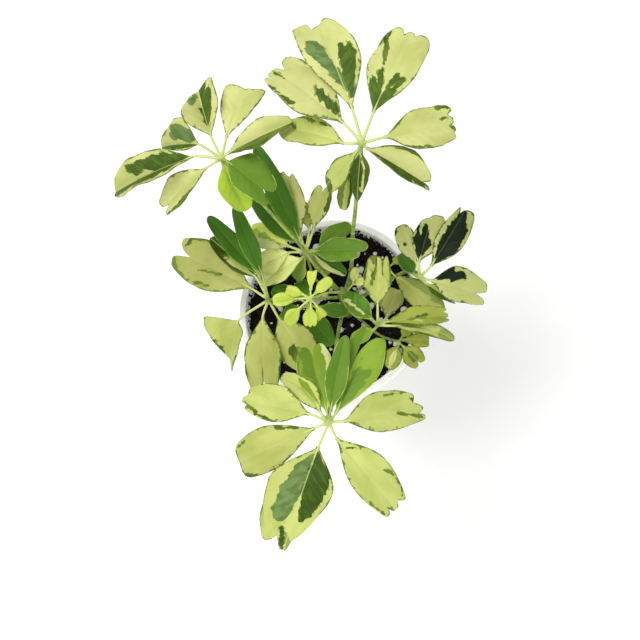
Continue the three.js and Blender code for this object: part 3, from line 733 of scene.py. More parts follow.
def stroke_depth(mark, x, y, width, length):
    """Depth inside a brush stroke from one point to another, with a half width in mm at each."""
    _, s0, c0, s1, c1, w0, w1 = mark
    start = np.array([c0 * width / 2, s0 * length])
    run = np.array([c1 * width / 2, s1 * length]) - start
    share = np.clip(((x - start[0]) * run[0] + (y - start[1]) * run[1]) / max(run @ run, 1e-6), 0, 1)
    away = np.hypot(x - start[0] - share * run[0], y - start[1] - share * run[1])
    return (w0 + (w1 - w0) * share - away) / STROKE_SCALE


def mark_depths(marks, tone, s, t, x, y, width, length):
    """How deep inside that tone's marks each point lies: above 0 is inside."""
    depth = np.full_like(s, OUTSIDE)
    slant = np.abs(x) / math.tan(VEIN_ANGLE) / length
    for mark in marks:
        if mark[0] == tone and len(mark) == 5:
            depth = np.maximum(depth, box_depth(mark, s, t, slant))
        elif mark[0] == tone:
            depth = np.maximum(depth, stroke_depth(mark, x, y, width, length))
    return depth


print("side veins leave the midrib at", round(math.degrees(VEIN_ANGLE)), "degrees")

# %% [markdown]
# ## The blades: relief
# A blade is folded a little at its midrib, cupped across and wavy at its edge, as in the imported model. On
# top come the finer forms that a bump map can't give at the rim: the groove over the midrib, the quilting
# between the side veins and a short ripple. The crumpled fronds buckle as well, each leaflet by its own mm.

# %% Relief of a blade
CUP = 0.09  # drop of the edge, as a share of the half width
WAVE = 0.035  # height of the edge's wave, as a share of the length
WAVES = 1.6
SOFT_FOLD = 0.7  # mm, rounds the fold at the midrib
GROOVE_DEPTH = 0.3  # mm
GROOVE_HALF = 0.6  # mm
QUILT_HEIGHT = 0.16  # mm
QUILT_FADE = 2  # mm over which the quilting starts at the midrib and at the rim
RIPPLE = 0.01  # height of the short ripple, as a share of the width
RIPPLES = 4.3


def broad_form(x, t, u, half, fold, length, phase):
    """Fold, cup and edge wave, in mm."""
    folded = (np.sqrt(x**2 + SOFT_FOLD**2) - SOFT_FOLD) * math.sin(fold)
    wave = WAVE * length * np.sin(2 * np.pi * (WAVES * u + phase) + np.sign(t)) * t**2 * u
    return folded - CUP * half * t**2 + wave


def fine_form(x, t, u, half, across_veins, width, phase):
    """Groove, quilting and ripple, in mm."""
    out = np.abs(x)
    groove = GROOVE_DEPTH * np.exp(-(x / GROOVE_HALF) ** 2) * (1 - 0.6 * u)
    on_blade = np.clip(out / QUILT_FADE, 0, 1) * np.clip((half - out) / QUILT_FADE, 0, 1)
    quilt = QUILT_HEIGHT * np.sin(np.pi * across_veins / SIDE_VEIN_GAP) ** 2 * on_blade
    ripple = RIPPLE * width * np.sin(2 * np.pi * (RIPPLES * u + 2.1 * phase) + 2 * np.sign(t)) * t**4
    return quilt + ripple - groove


def buckled(u, t):
    """Uneven folds of a crumpled blade, from about -1 to 1 and flat at the root."""
    broad = np.sin(2 * np.pi * 1.9 * u + 2.6 * t)
    fine = np.sin(2 * np.pi * 3.4 * u - 4.7 * t + 1)
    return (0.6 * broad + 0.4 * fine) * u * (0.3 + 0.7 * np.abs(t))


print("an edge waves", WAVES, "times and ripples", RIPPLES, "times from root to end")

# %% [markdown]
# ## The blades: what their points carry
# Numbers at the points are what lets one material serve every leaflet, and they stay with the mesh
# wherever it is moved or joined. Each leaflet also has a number of its own, which sets its patterns apart
# and makes its colours up to a twentieth lighter or darker. The points that Solidify adds later are the
# underside, and they are marked as such.

# %% What a blade's points carry
TINT = 0.05


def carry(piece, name, parts):
    """Gives every point a vector, each part an array or one number for all."""
    count = len(piece.data.vertices)
    vectors = np.stack([np.broadcast_to(np.array(part, float), count) for part in parts], axis=-1)
    attribute = piece.data.attributes.new(name, "FLOAT_VECTOR", "POINT")
    attribute.data.foreach_set("vector", vectors.ravel())


def carry_all(piece, kind, number, values):
    """The given values, and what the kind of leaf and its number add to them."""
    ground, patch_green, rim_line, rim_strength, blotches, vein_strength = TONES[kind]
    strengths = {"rim_strength": rim_strength, "blotches": blotches, "vein_strength": vein_strength}
    values = {"number": number, **strengths, **values}
    for name, part_names in CARRIED.items():
        carry(piece, name, [values[part] for part in part_names])
    tint = 1 + TINT * math.sin(2.4 * number)
    for name, hex_colour, share in zip(CARRIED_COLOURS, (ground, patch_green, rim_line), (tint, tint, 1)):
        carry(piece, name, [value * share for value in linear(hex_colour)[:3]])


def mark_undersides(piece, tops):
    """Points after the first ones were added by Solidify and lie on the underside."""
    underside = np.zeros(len(piece.data.vertices))
    underside[tops:] = 1
    attribute = piece.data.attributes.new("leaf_side", "FLOAT", "POINT")
    attribute.data.foreach_set("value", underside)


print("each point of a blade carries", len(CARRIED) + len(CARRIED_COLOURS), "vectors")

# %% [markdown]
# ## The blades: one whole blade
# The grid is bent to its outline, its midrib's line and its relief in one go. It stays a single sheet
# here, because its thickness comes later from Solidify, which keeps both sides the same distance apart.

# %% One blade
BLADE_ROWS = 34
BLADE_COLUMNS = 30
MARGIN_AT_END = 0.9  # the end is slanted, so the rim lies this much closer there


def make_blade(row, root, phase, number, crumple):
    """One blade as its own object, with all that the leaf finish reads."""
    sizes, outline, kind, marks = row
    width, fold = sizes[5], math.radians(sizes[9])
    bpy.ops.mesh.primitive_grid_add(x_subdivisions=BLADE_COLUMNS, y_subdivisions=BLADE_ROWS, size=2)
    piece = bpy.context.object
    grid = points_of(piece)
    t, u = -grid[:, 0], (grid[:, 1] + 1) / 2
    rib = Rib(root, sizes)
    s = u * end_reach(OUTLINES[outline][-1], t)
    half = half_width(width, outline, t, u)
    x, y = t * half, s * rib.length
    along_veins = np.abs(x) * math.sin(VEIN_ANGLE) + y * math.cos(VEIN_ANGLE)
    across_veins = y * math.sin(VEIN_ANGLE) - np.abs(x) * math.cos(VEIN_ANGLE)

    height = broad_form(x, t, u, half, fold, rib.length, phase)
    height += fine_form(x, t, u, half, across_veins, width, phase) + crumple * buckled(u, t)
    left, up = rib.frame(s)
    points = rib.place(s) + left * (x * math.cos(fold))[:, None] + up * height[:, None]
    move_points(piece, points * MM)

    margin = np.minimum((1 - np.abs(t)) * half, (1 - u) * rib.length * MARGIN_AT_END)
    values = {
        "across": x, "along": y, "margin": margin, "along_veins": along_veins, "across_veins": across_veins,
    }
    for tone in (*CARRIED["leaf_marks"], *CARRIED["leaf_spots"]):
        values[tone] = mark_depths(marks, tone, s, t, x, y, width, rib.length)
    carry_all(piece, kind, number, values)
    return piece


print("a blade has", BLADE_ROWS * BLADE_COLUMNS, "faces before it gets its thickness")

# %% [markdown]
# ## The stalks: smooth paths
# A petiole bends softly on its way up. A chain of straight bits would show its corners, so a path is eased
# through a few measured points. This kind of easing passes through every point without swinging past it,
# where a Bezier curve would need its handles set one by one.

# %% Smooth paths
DENSE = 24  # steps between two points, before the path is spaced evenly


def smooth_path(points, steps):
    """Centripetal Catmull-Rom curve through the points, evenly spaced."""
    p = np.array(points, float)
    p = np.vstack([2 * p[0] - p[1], p, 2 * p[-1] - p[-2]])
    out = []
    for a, b, c, d in zip(p, p[1:], p[2:], p[3:]):
        knots = np.cumsum([0] + [np.linalg.norm(n - m) ** 0.5 for m, n in ((a, b), (b, c), (c, d))])
        t = np.linspace(knots[1], knots[2], DENSE)[:, None]

        def mix(p0, p1, t0, t1):
            return (t1 - t) / (t1 - t0) * p0 + (t - t0) / (t1 - t0) * p1

        k0, k1, k2, k3 = knots
        ab, bc, cd = mix(a, b, k0, k1), mix(b, c, k1, k2), mix(c, d, k2, k3)
        abc, bcd = mix(ab, bc, k0, k2), mix(bc, cd, k1, k3)
        out.append(mix(abc, bcd, k1, k2))
    dense = np.vstack(out)
    lengths = np.concatenate([[0], np.cumsum(np.linalg.norm(np.diff(dense, axis=0), axis=1))])
    even = np.linspace(0, lengths[-1], steps)
    return np.stack([np.interp(even, lengths, dense[:, k]) for k in range(3)], axis=-1)


corner = smooth_path([(0, 0, 0), (0, 0, 10), (10, 0, 10)], 50)
corner_length = np.linalg.norm(np.diff(corner, axis=0), axis=1).sum()
print("a path round a 10 mm corner is", round(float(corner_length), 1), "mm long")

# %% [markdown]
# ## The stalks: swept rods
# A petiole is a round rod that thins towards its hub. It could be a cylinder that is bent and scaled ring
# by ring, but a curve's own bevel gives the round section and takes a radius at each point.

# %% Swept rods
def sweep_rods(name, rods, sides=10):
    """Rods given as (points, radii) in mm, swept as one curve object and made a mesh."""
    curve = bpy.data.curves.new(name, "CURVE")
    curve.dimensions = "3D"
    curve.bevel_depth = MM
    curve.bevel_resolution = max(1, (sides - 4) // 2)
    curve.use_fill_caps = True
    for points, radii in rods:
        spline = curve.splines.new("POLY")
        spline.points.add(len(points) - 1)
        for point, place, radius in zip(spline.points, points, radii):
            point.co = (*(Vector(place) * MM), 1)
            point.radius = radius
    piece = bpy.data.objects.new(name, curve)
    bpy.context.collection.objects.link(piece)
    only(piece)
    bpy.ops.object.convert(target="MESH")
    return bpy.context.object


print("one mm of a curve's radius is", MM, "m of bevel")

# %% [markdown]
# ## The stalks: petiole and leaflet stalks
# The petiole clasps the stem with a thicker sheath. Each leaflet's stalk starts in the hub and runs on
# under the blade as its raised midrib, thinning out until it is gone. Ending it at the blade's root
# would leave a hard step there.

# %% Rods of a frond
STALK_RADII = (0.8, 0.62)  # mm, at the hub and at the blade's root
STALK_END = 0.22  # mm, where it runs out under the blade
STALK_SUNK = 0.24  # share of the blade that the stalk runs under
STALK_UNDER = np.array([0.0, 0.3, 0.55])  # mm below the midrib along that share
SHEATH = 0.5  # mm, how much thicker a petiole is at the stem
SHEATH_SHARE = 0.06  # share of the petiole in which that fades


def petiole_rod(points, radii):
    """The long stalk, thickest where it clasps the stem."""
    path = smooth_path(points, 60)
    share = np.linspace(0, 1, len(path))
    sheath = SHEATH * np.exp(-((share / SHEATH_SHARE) ** 2))
    return path, radii[0] + (radii[1] - radii[0]) * share + sheath


def leaflet_rod(hub, root, sizes, slim):
    """A short stalk from the hub to the blade's root, that runs on under the blade and thins out."""
    rib, stalk = Rib(root, sizes), sizes[3]
    shares = np.array([0.0, STALK_SUNK / 2, STALK_SUNK])
    _, up = rib.frame(shares)
    path = smooth_path([hub, *(rib.place(shares) - up * STALK_UNDER[:, None])], 20)
    run = np.linspace(0, stalk + STALK_SUNK * rib.length, len(path))
    return path, slim * np.interp(run, [0, stalk, run[-1]], [*STALK_RADII, STALK_END])


print("leaflet stalks thin from", STALK_RADII[0], "to", STALK_END, "mm in radius")

# %% [markdown]
# ## The stalks: one fused skin
# A frond's petiole, its hub and the short stalks of its leaflets grew as one piece. So they are joined and
# fused by a voxel remesh, which gives the soft webs between the stalks at the hub that a join of plain
# tubes would lack. A short smoothing then takes away the steps of the voxels. The skin carries how pale
# it is: nothing on the petiole, and up to 1 on the stalks of cream leaflets.

# %% Fused stalks
HUB_SHARE = 1.25  # the hub's radius over the petiole's
HUB_HEIGHT = 0.8  # the hub is a ball pressed a little flat
FUSE_VOXEL = 0.3  # mm
PALE_FROM = 1.2  # mm from the petiole, where stalks begin to turn pale
PALE_OVER = 3  # mm in which they do


def make_hub(place, radius):
    """The knob from which the leaflets' stalks leave."""
    bpy.ops.mesh.primitive_ico_sphere_add(subdivisions=3, radius=radius * MM, location=Vector(place) * MM)
    hub = bpy.context.object
    bpy.ops.transform.resize(value=(1, 1, HUB_HEIGHT))
    bpy.ops.object.transform_apply(location=True, rotation=True, scale=True)
    return hub


def make_stalks(name, rods, hub, hub_radius):
    """Rods and hub as one fused skin."""
    stalks = join([sweep_rods(name, rods), make_hub(hub, hub_radius)], name)
    apply_modifier(stalks, "REMESH", mode="VOXEL", voxel_size=FUSE_VOXEL * MM)
    apply_modifier(stalks, "SMOOTH", factor=0.5, iterations=4)
    only(stalks)
    bpy.ops.object.shade_smooth()
    return stalks


def mark_stalks(stalks, rods, paleness):
    """Marks how pale each point is, by the rod that it is nearest to."""
    points = points_of(stalks) / MM
    petiole = rods[0][0]

    def distance(path):
        return np.linalg.norm(points[:, None] - path[None], axis=2).min(axis=1)

    nearest = np.argmin([distance(path[::3]) for path, _ in rods[1:]], axis=0)
    beyond = np.clip((distance(petiole[::2]) - PALE_FROM) / PALE_OVER, 0, 1)
    attribute = stalks.data.attributes.new("stalk_pale", "FLOAT", "POINT")
    attribute.data.foreach_set("value", beyond * np.array(paleness)[nearest])


print("stalks are fused with voxels of", FUSE_VOXEL, "mm")

# %% [markdown]
# ## The stalk finish
# The finish is a petiole skin. It is smooth, tight and thinly waxed as it grew, so it shines more than the
# leaves: roughness 0.36, and the common IOR of plant skin, 1.45 to 1.5. Green fades to cream on the short
# stalks of cream leaflets. Faint streaks 3 mm wide run lengthways. Real pores are about 0.05 mm across,
# too fine to show, so they are drawn as pale points of 0.4 mm.

# %% Stalk material
STREAKS_PER_M = 320  # about 3 mm each
PORES_PER_M = 2400  # about 0.4 mm each


def make_stalk_material(name, green, deep_green, pale):
    """A smooth green skin with faint lengthways streaks, that turns pale on the leaf stalks."""
    material, tree = new_material(name)
    place = add(tree, "TexCoord", {}).outputs["Object"]
    upright = add(tree, "VectorMath", {0: place, 1: (1, 1, 0.3)}, operation="MULTIPLY")
    streaks = add(tree, "TexNoise", {"Vector": upright, "Scale": STREAKS_PER_M, "Detail": 3.0})
    deep = add(tree, "MapRange", {"Value": streaks, "From Min": 0.4, "From Max": 0.66}, **SMOOTH)
    colour = add(tree, "Mix", {0: deep, 6: linear(green), 7: linear(deep_green)}, data_type="RGBA")
    paleness = add(tree, "Attribute", {}, attribute_name="stalk_pale").outputs["Fac"]
    colour = add(tree, "Mix", {0: paleness, 6: colour, 7: linear(pale)}, data_type="RGBA")
    pores = add(tree, "TexNoise", {"Vector": place, "Scale": PORES_PER_M, "Detail": 1.0})
    pores = add(
        tree, "MapRange", {"Value": pores, "From Min": 0.66, "From Max": 0.72, "To Max": 0.4},
        **SMOOTH,
    )
    colour = add(tree, "Mix", {0: pores, 6: colour, 7: linear("#DDE3A6")}, data_type="RGBA")
    bump = add(tree, "Bump", {"Strength": 0.15, "Distance": 0.3 * MM, "Height": streaks})
    skin = add(tree, "BsdfPrincipled", {
        "Base Color": colour, "Normal": bump, "Roughness": 0.36, "Specular IOR Level": 0.45,
    })
    add(tree, "OutputMaterial", {"Surface": skin})
    return material


STALK = make_stalk_material("petiole_skin", "#8EA43C", "#667C2A", "#C4CE78")
LIME_STALK = make_stalk_material("lime_petiole_skin", "#B8CA5E", "#8EA63C", "#D4DE7C")
STEM_SKIN = make_stalk_material("stem_skin", "#7C8A40", "#5E6C30", "#9AA860")
print("stalk finishes:", STALK.name, LIME_STALK.name, STEM_SKIN.name)

# %% [markdown]
# ## How a frond is built
# On the plant a frond is one petiole with its ring of leaflets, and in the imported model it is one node. One
# function builds it from its own table, so that a leaflet is set by its real sizes. The blades of a frond
# are one piece, 0.42 mm thick and so about as thin as real ones. The fused stalks are a second piece.

# %% Frond builder
BLADE_THICKNESS = 0.42  # mm
STALK_PALENESS = {  # how pale the stalk of each kind of leaflet is
    "ivory": 0.9, "cream": 1, "pale": 1, "khaki": 0.9, "bright": 1, "painted_sunlit": 1, "yellow_lime": 0.8,
    "lime": 0.8, "olive": 0.6, "mid": 0.45, "dark": 0.35, "fresh": 0.4, "deep": 0.9, "young": 0.9,
}
NUMBERS_APART = 20  # between the leaflet numbers of two fronds
PHASE_STEP = 0.37  # sets each leaflet's edge wave apart from the last one's
SLOTS = {part["node"]: part["material_slot"] for part in frame["record"]["subparts"]}
fronds_built = []


def build_frond(node, petiole, radii, leaflets, slim=1.0, crumple=None, skin=STALK):
    """The blades and the fused stalks of one frond, finished and set in place of its node."""
    first = NUMBERS_APART * len(fronds_built)
    fronds_built.append(node)
    hub = np.array(petiole[-1], float)
    rods, blades = [petiole_rod(petiole, radii)], []
    deselect()
    for i, row in enumerate(leaflets):
        heading, turn, rise, stalk, _, _, arch = row[0][:7]
        root = hub + stalk * direction(heading - turn, rise + arch / 2)
        rods.append(leaflet_rod(hub, root, row[0], slim))
        buckle = crumple[i] if crumple else 0
        blades.append(make_blade(row, root, (i * PHASE_STEP) % 1, first + i, buckle))
    leaves = join(blades, node + "_leaflets")
    tops = len(leaves.data.vertices)
    apply_modifier(leaves, "SOLIDIFY", thickness=BLADE_THICKNESS * MM, offset=0)
    mark_undersides(leaves, tops)
    only(leaves)
    bpy.ops.object.shade_smooth()
    stalks = make_stalks(node + "_stalks", rods, hub, HUB_SHARE * radii[1])
    mark_stalks(stalks, rods, [STALK_PALENESS[kind] for _, _, kind, _ in leaflets])
    finish_piece(leaves, LEAF, SLOTS[node], node)
    finish_piece(stalks, skin, "stem", node)


print("fronds to build:", sum(name.startswith("frond") for name in SLOTS), "and the bud")

# %% [markdown]
# ## How to read a frond
# A frond is given by its petiole's points, the petiole's radii at the stem and at the hub, and one row for
# each leaflet. A row starts with ten sizes in mm and degrees: heading, turn of the stalk, rise, stalk,
# reach, width, arch, sweep, roll and fold. Then come an outline, a kind of leaf and the marks. A mark is a
# tone with either a box or a stroke, in shares of the length from 0 at the root to 1 at the end, and of
# the half width from -1 at the right edge to 1 at the left. A box says from and to along, and from and to
# across. A stroke says along and across at its start, the same at its end, and its half width in mm there.

# %% [markdown]
# ## The fronds: back right
# The tallest frond opens 205 mm above the table, with nine leaflets. Dark green fans grow from the
# midribs of the three largest, others have only green rims, and three short ones hang down by the
# petiole. A fan is drawn as strokes, one for each prong, because a box would square it off.

# %% Frond, back right
build_frond(
    "frond_back_right",
    [(11, 2, 107), (16, 12, 120), (19, 23, 137), (24, 33, 162), (32, 44, 205)], (1.2, 0.95),
    [
        [(109, 5, -5, 16, 50, 25, 26, 0, 0, 8), "horned_left", "ivory",
         [("grey", 0.71, 0.52, 0.28, 0, 3.4, 2.2), ("grey", 0.28, 0, 0.09, -0.15, 2.1, 0.5),
          ("dark", 0.1, -0.16, 0.5, -0.7, 1.1, 1.7), ("dark", 0.5, -0.7, 0.6, -0.72, 1.4, 0.7),
          ("dark", 0.18, -0.22, 0.54, -0.46, 2, 2.5), ("dark", 0.46, -0.3, 0.62, -0.44, 1.8, 0.7)]],
        [(66, -2, -5, 14, 43, 23, 24, 0, 0, 8), "frilled", "ivory",
         [("dark", 0.06, 0.02, 0.32, 0.5, 1.4, 1.4), ("dark", 0.13, 0.02, 0.45, 0.38, 1.6, 1.3),
          ("dark", 0.15, -0.06, 0.45, -0.31, 1.3, 1.2), ("dark", 0.08, -0.04, 0.42, -0.56, 1.4, 1.2),
          ("green", 0.88, 0.81, 0.52, 0.39, 1.1, 1)]],
        [(135, 6, -11, 13, 48, 22, 22, 0, 4, 10), "two_steps", "ivory",
         [("dark", 0.13, -0.18, 0.38, -0.33, 2, 1.9), ("dark", 0.38, -0.33, 0.47, -0.42, 1.2, 0.3),
          ("green", 0.86, 0.8, 0.5, 0.72, 0.7, 1), ("green", 0.99, 0.07, 0.8, 0.05, 0.8, 0.5),
          ("green", 0.04, -0.5, 0.3, -0.98, 0.4, 0.6)]],
        [(153, -20, -19, 8, 35, 17, 20, 0, 15, 16), "blunt", "cream",
         [("green", 1, -0.5, 0.8, -0.1, 1.2, 0.7), ("green", 0.9, -0.8, 0.3, -0.7, 0.8, 0.4)]],
        [(12, 1, -11, 10, 31, 20, 22, 0, 0, 10), "scalloped", "ivory",
         [("green", 0.8, 0.86, 0.99, 0.78, 1, 1), ("green", 0.8, 0.34, 1, 0.33, 0.8, 0.6),
          ("green", 0.06, 0.2, 0.28, 0.6, 0.5, 0.6), ("green", 0.2, -0.66, 0.6, -1, 0.5, 0.7),
          ("green", 0.94, -0.04, 0.98, -0.4, 0.6, 0.6)]],
        [(-28, 22, -24, 3, 32, 16, 20, 0, -10, 38), "folded_tip", "ivory",
         [("dark", 0, 0.95, -1.1, -0.1), ("green", 0.1, 1.05, 0.85, 1.1), ("green", 0.9, 1.2, -1.1, 0)]],
        [(-106, 2, -54, 4, 26, 11.5, 16, 0, 0, 24), "point", "ivory",
         [("dark", -0.2, 1.1, -1.2, 0.3), ("dark", -0.2, 1.1, 0.6, 1.2), ("dark", 0.72, 1.1, -1.2, 1.2)]],
        [(-147, -18, -34, 4, 22, 13, 20, 0, 8, 20), "club", "cream",
         [("green", 0.2, 1.1, -1.1, -0.86), ("green", 0.85, 1.1, -1, 1)]],
        [(-112, 16, -50, 15, 20, 9, 14, 0, 0, 40), "oval", "cream",
         [("green", -0.1, 1.1, -1.1, -0.3), ("dark", 0, 1.1, 0.6, 1.1)]],
    ],
)

# %% [markdown]
# ## The fronds: back left
# This frond leans far out over the pot's back left edge and carries eight leaflets. Five are cream with
# a fan or a green half, one is plain cream, and two are green all over. A green half is a box on one
# side of the midrib, which ends sharply along it as on the real leaf.

# %% Frond, back left
build_frond(
    "frond_back_left",
    [(10.5, 1, 114), (7, 4, 126), (-1, 12, 138), (-5, 17, 150), (-13, 25, 162), (-35, 48, 190)], (1, 0.75),
    [
        [(-166, 24, -15, 14, 45, 24, 22, 0, 12, 38), "slanted_left", "ivory",
         [("dark", 0.08, -0.14, 0.42, -0.34, 1.4, 4), ("dark", 0.42, -0.36, 0.7, -0.6, 4, 2.2),
          ("dark", 0.61, -0.55, 0.65, -0.31, 1.8, 1.6), ("green", 0.21, -0.6, 0.12, -0.4, 1.4, 1.1),
          ("dark", 0.06, 1.02, 0, 0.78)]],
        [(-148, 9, -24, 9, 30, 16.5, 18, 10, 6, 26), "paired", "ivory",
         [("green", 0, 0.3, 0.3, 0.9, 0.6, 1), ("green", 0.3, 0.9, 0.98, 0.7, 1.1, 1.6),
          ("half", 0.99, -0.8, 0.86, -0.95, 1, 0.8)]],
        [(166, 25, -28, 18, 26, 19, 20, 0, -12, 40), "shoulder", "ivory",
         [("grey", 0.16, -0.5, 0.4, -0.75, 3.6, 4.1), ("grey", 0.2, -0.4, 0.56, -0.5, 2.4, 2),
          ("dark", 0, 1, 0, 0.95)]],
        [(107, -7, -4, 12, 28, 22, 22, 0, 0, 34), "slanted_right", "ivory",
         [("dark", 0.1, 0.98, -0.62, -0.02), ("dark", 0.4, -0.2, 0.72, -0.5, 2.4, 2.6),
          ("dark", 0.2, 0.02, 0.52, 0.05, 0.8, 1.1),
          ("grey", 0.67, 0.47, 0.76, 0.25, 1.7, 1.6)]],
        [(72, -4, -4, 10, 28, 19, 20, 0, 0, 6), "wedge", "ivory", []],
        [(18, -6, 11, 4, 34, 17, 20, 0, -10, 34), "late_oval", "ivory",
         [("green", -0.1, 1.1, -1.2, -0.1), ("dark", 0.05, 0.8, -1.2, -0.7)]],
        [(-39, -13, -16, 3, 27, 18, 24, 0, 0, 10), "narrow_lobe", "mid", []],
        [(-65, 15, -36, 3, 24, 15, 24, 0, 0, 14), "oval", "yellow_lime", [("half", 0.1, 0.8, -0.3, 0.1)]],
    ],
)

# %% [markdown]
# ## The fronds: front
# The front frond reaches out over the near edge of the pot. Its largest leaflet has a two-sided fan,
# grey-green on the right and dark on the left, so it takes the most strokes of all. Four narrower
# leaflets, three of them green, point back towards the stem.

# %% Frond, front
build_frond(
    "frond_front",
    [(10, -1, 98), (9, -10, 107), (9, -24, 122), (9, -49, 142), (10, -71, 158)], (1.15, 0.9),
    [
        [(166, 10, -13, 10, 36, 18, 24, 0, 0, 10), "beaked", "cream",
         [("green", 0.94, 0.17, 0.72, 0.5, 0.8, 1), ("green", 0.72, 0.6, 0.43, 0.8, 0.9, 0.5)]],
        [(-159, 0, -12, 7, 41, 21, 22, 0, 0, 10), "cut", "pale",
         [("green", 0.42, -0.72, 0.19, -0.3, 1.1, 1), ("green", 0.95, -0.6, 0.82, -0.75, 0.7, 0.6),
          ("green", 0.97, 0.65, 0.82, 0.94, 0.7, 0.7)]],
        [(-111, 2, -10, 12, 50, 30.5, 24, 0, 0, 9), "tongue", "cream",
         [("grey", 0.12, -0.09, 0.25, -0.2, 1.1, 3.3), ("grey", 0.25, -0.2, 0.42, -0.32, 3.7, 4.8),
          ("grey", 0.42, -0.32, 0.67, -0.42, 4.8, 4.2), ("dark", 0.08, 0.08, 0.23, 0.32, 0.9, 4.5),
          ("dark", 0.23, 0.32, 0.37, 0.34, 5.4, 5.7), ("dark", 0.38, 0.32, 0.57, 0.3, 5.5, 3.7),
          ("dark", 0.57, 0.3, 0.67, 0.22, 3.3, 1.6), ("green", 0.28, 0.42, 0.34, 0.56, 1.1, 0.8),
          ("green", 0.51, 0.42, 0.6, 0.42, 2.5, 1.3), ("dark", 0.82, -0.23, 1, -0.05, 1.5, 0.9),
          ("half", 0.84, -0.1, 0.96, 0.1, 1.4, 1.4)]],
        [(-51, 13, -15, 8, 42, 20, 24, 0, 0, 10), "bitten", "cream",
         [("green", 0.56, 0.86, 0.83, 0.94, 0.5, 0.8), ("green", 0.83, 0.94, 0.92, 0.66, 0.7, 0.5),
          ("green", 0.86, -0.6, 0.95, -0.57, 0.5, 0.7), ("green", 0.93, -0.24, 1.03, -0.02, 0.6, 0.5),
          ("green", 0.14, 0.07, 0.24, 0.42, 0.6, 0.4), ("green", 0.65, -0.8, 0.85, -0.64, 0.4, 0.5)]],
        [(10, 7, -10, 7, 37, 19, 22, 0, 0, 10), "hooked", "cream",
         [("green", 0.68, -0.09, 0.97, -0.43, 0.7, 0.6), ("green", 0.54, 0.86, 0.81, 0.9, 0.5, 0.6),
          ("green", 0.85, 0.54, 0.93, 0.26, 0.5, 0.4), ("green", 0.11, -0.26, 0.32, -0.74, 0.4, 0.4)]],
        [(66, 16, -8, 5, 44, 20, 22, 0, 0, 12), "forked", "lime",
         [("half", 0, 0.95, 0.25, 1.1), ("half", 0, 0.62, -0.85, 0.1)]],
        [(78, -1, 1, 5, 36, 10.5, 20, 0, 0, 14), "oval", "mid", [("half", 0.05, 0.95, 0.1, 0.9)]],
        [(106, 6, -16, 5, 36, 19, 22, 0, 8, 14), "notched", "lime",
         [("cream", -0.1, 1.1, -1.1, -0.55), ("half", 0.35, 0.9, 0.1, 0.7)]],
        [(138, 8, -10, 6, 28, 11, 12, 46, 0, 24), "oval", "cream", []],
    ],
)

# %% [markdown]
# ## The fronds: left
# The left frond has one large leaflet with a notch in its tip, three narrow dark green ones that rise
# behind it, and two broad ones that hang down in front. The last leaflet hangs over the rim like a flag,
# so its rise is steep and its outline runs out to one corner.

# %% Frond, left
build_frond(
    "frond_left",
    [(10.5, 1, 109), (2, -2, 119), (-8, -3, 126), (-16, -4, 129.5), (-25, -5, 132)], (0.95, 0.75),
    [
        [(110, 10, 18, 13, 38, 10, 18, 0, 0, 22), "oval", "dark", []],
        [(130, 20, 10, 14, 40, 11, 18, 0, 4, 22), "oval", "dark", []],
        [(138, 20, 3, 13, 33, 11, 16, 0, -10, 24), "oval", "cream",
         [("dark", -0.1, 1.1, -1.2, -0.1), ("dark", 0, 1.1, 0.7, 1.2), ("dark", 0.55, 1.1, -1.2, 1.2)]],
        [(150, 5, -12, 11, 53, 26, 24, 0, 0, 8), "cleft", "khaki",
         [("green", 0.9, -0.37, 0.85, -0.8, 0.8, 1.1), ("green", 0.85, -0.8, 0.65, -0.96, 1.1, 0.6),
          ("green", 0.98, 0.23, 0.9, 0.68, 0.9, 1.3), ("green", 0.9, 0.68, 0.69, 0.94, 1.3, 0.8),
          ("green", 0.69, 0.94, 0.38, 0.71, 0.7, 0.6), ("green", 0.61, 0.32, 0.35, 0.08, 0.4, 0.6),
          ("green", 0.58, -0.81, 0.31, -0.42, 0.6, 0.6)]],
        [(-112, 46, -44, 24, 34, 25, 26, 10, 8, 24), "flag", "pale",
         [("dark", 0.45, 1.1, -1.2, -0.45), ("green", 0.6, 1, 0.5, 1)]],
        [(-94, 19, -26, 9, 41, 20, 22, 0, 0, 10), "notched", "pale",
         [("green", 0.15, 0.95, -1.2, -0.93), ("green", 0.66, 0.96, -0.1, 0.02),
          ("dark", 0.5, 1, 0.86, 1.2)]],
        [(-60, 3, -32, 10, 31, 21, 20, 0, 0, 10), "notched", "pale",
         [("green", 0.55, 0.95, -0.5, 0.1), ("green", 0.35, 0.7, -1.1, -0.8)]],
    ],
)

# %% [markdown]
# ## The fronds: middle
# The middle frond grows behind the stem, and its thirteen leaflets lie partly over each other. Half of
# them are green. The longest points straight to the back. Many show only as slivers, but the gaps
# between the nearer fronds would look through to bare soil without them.

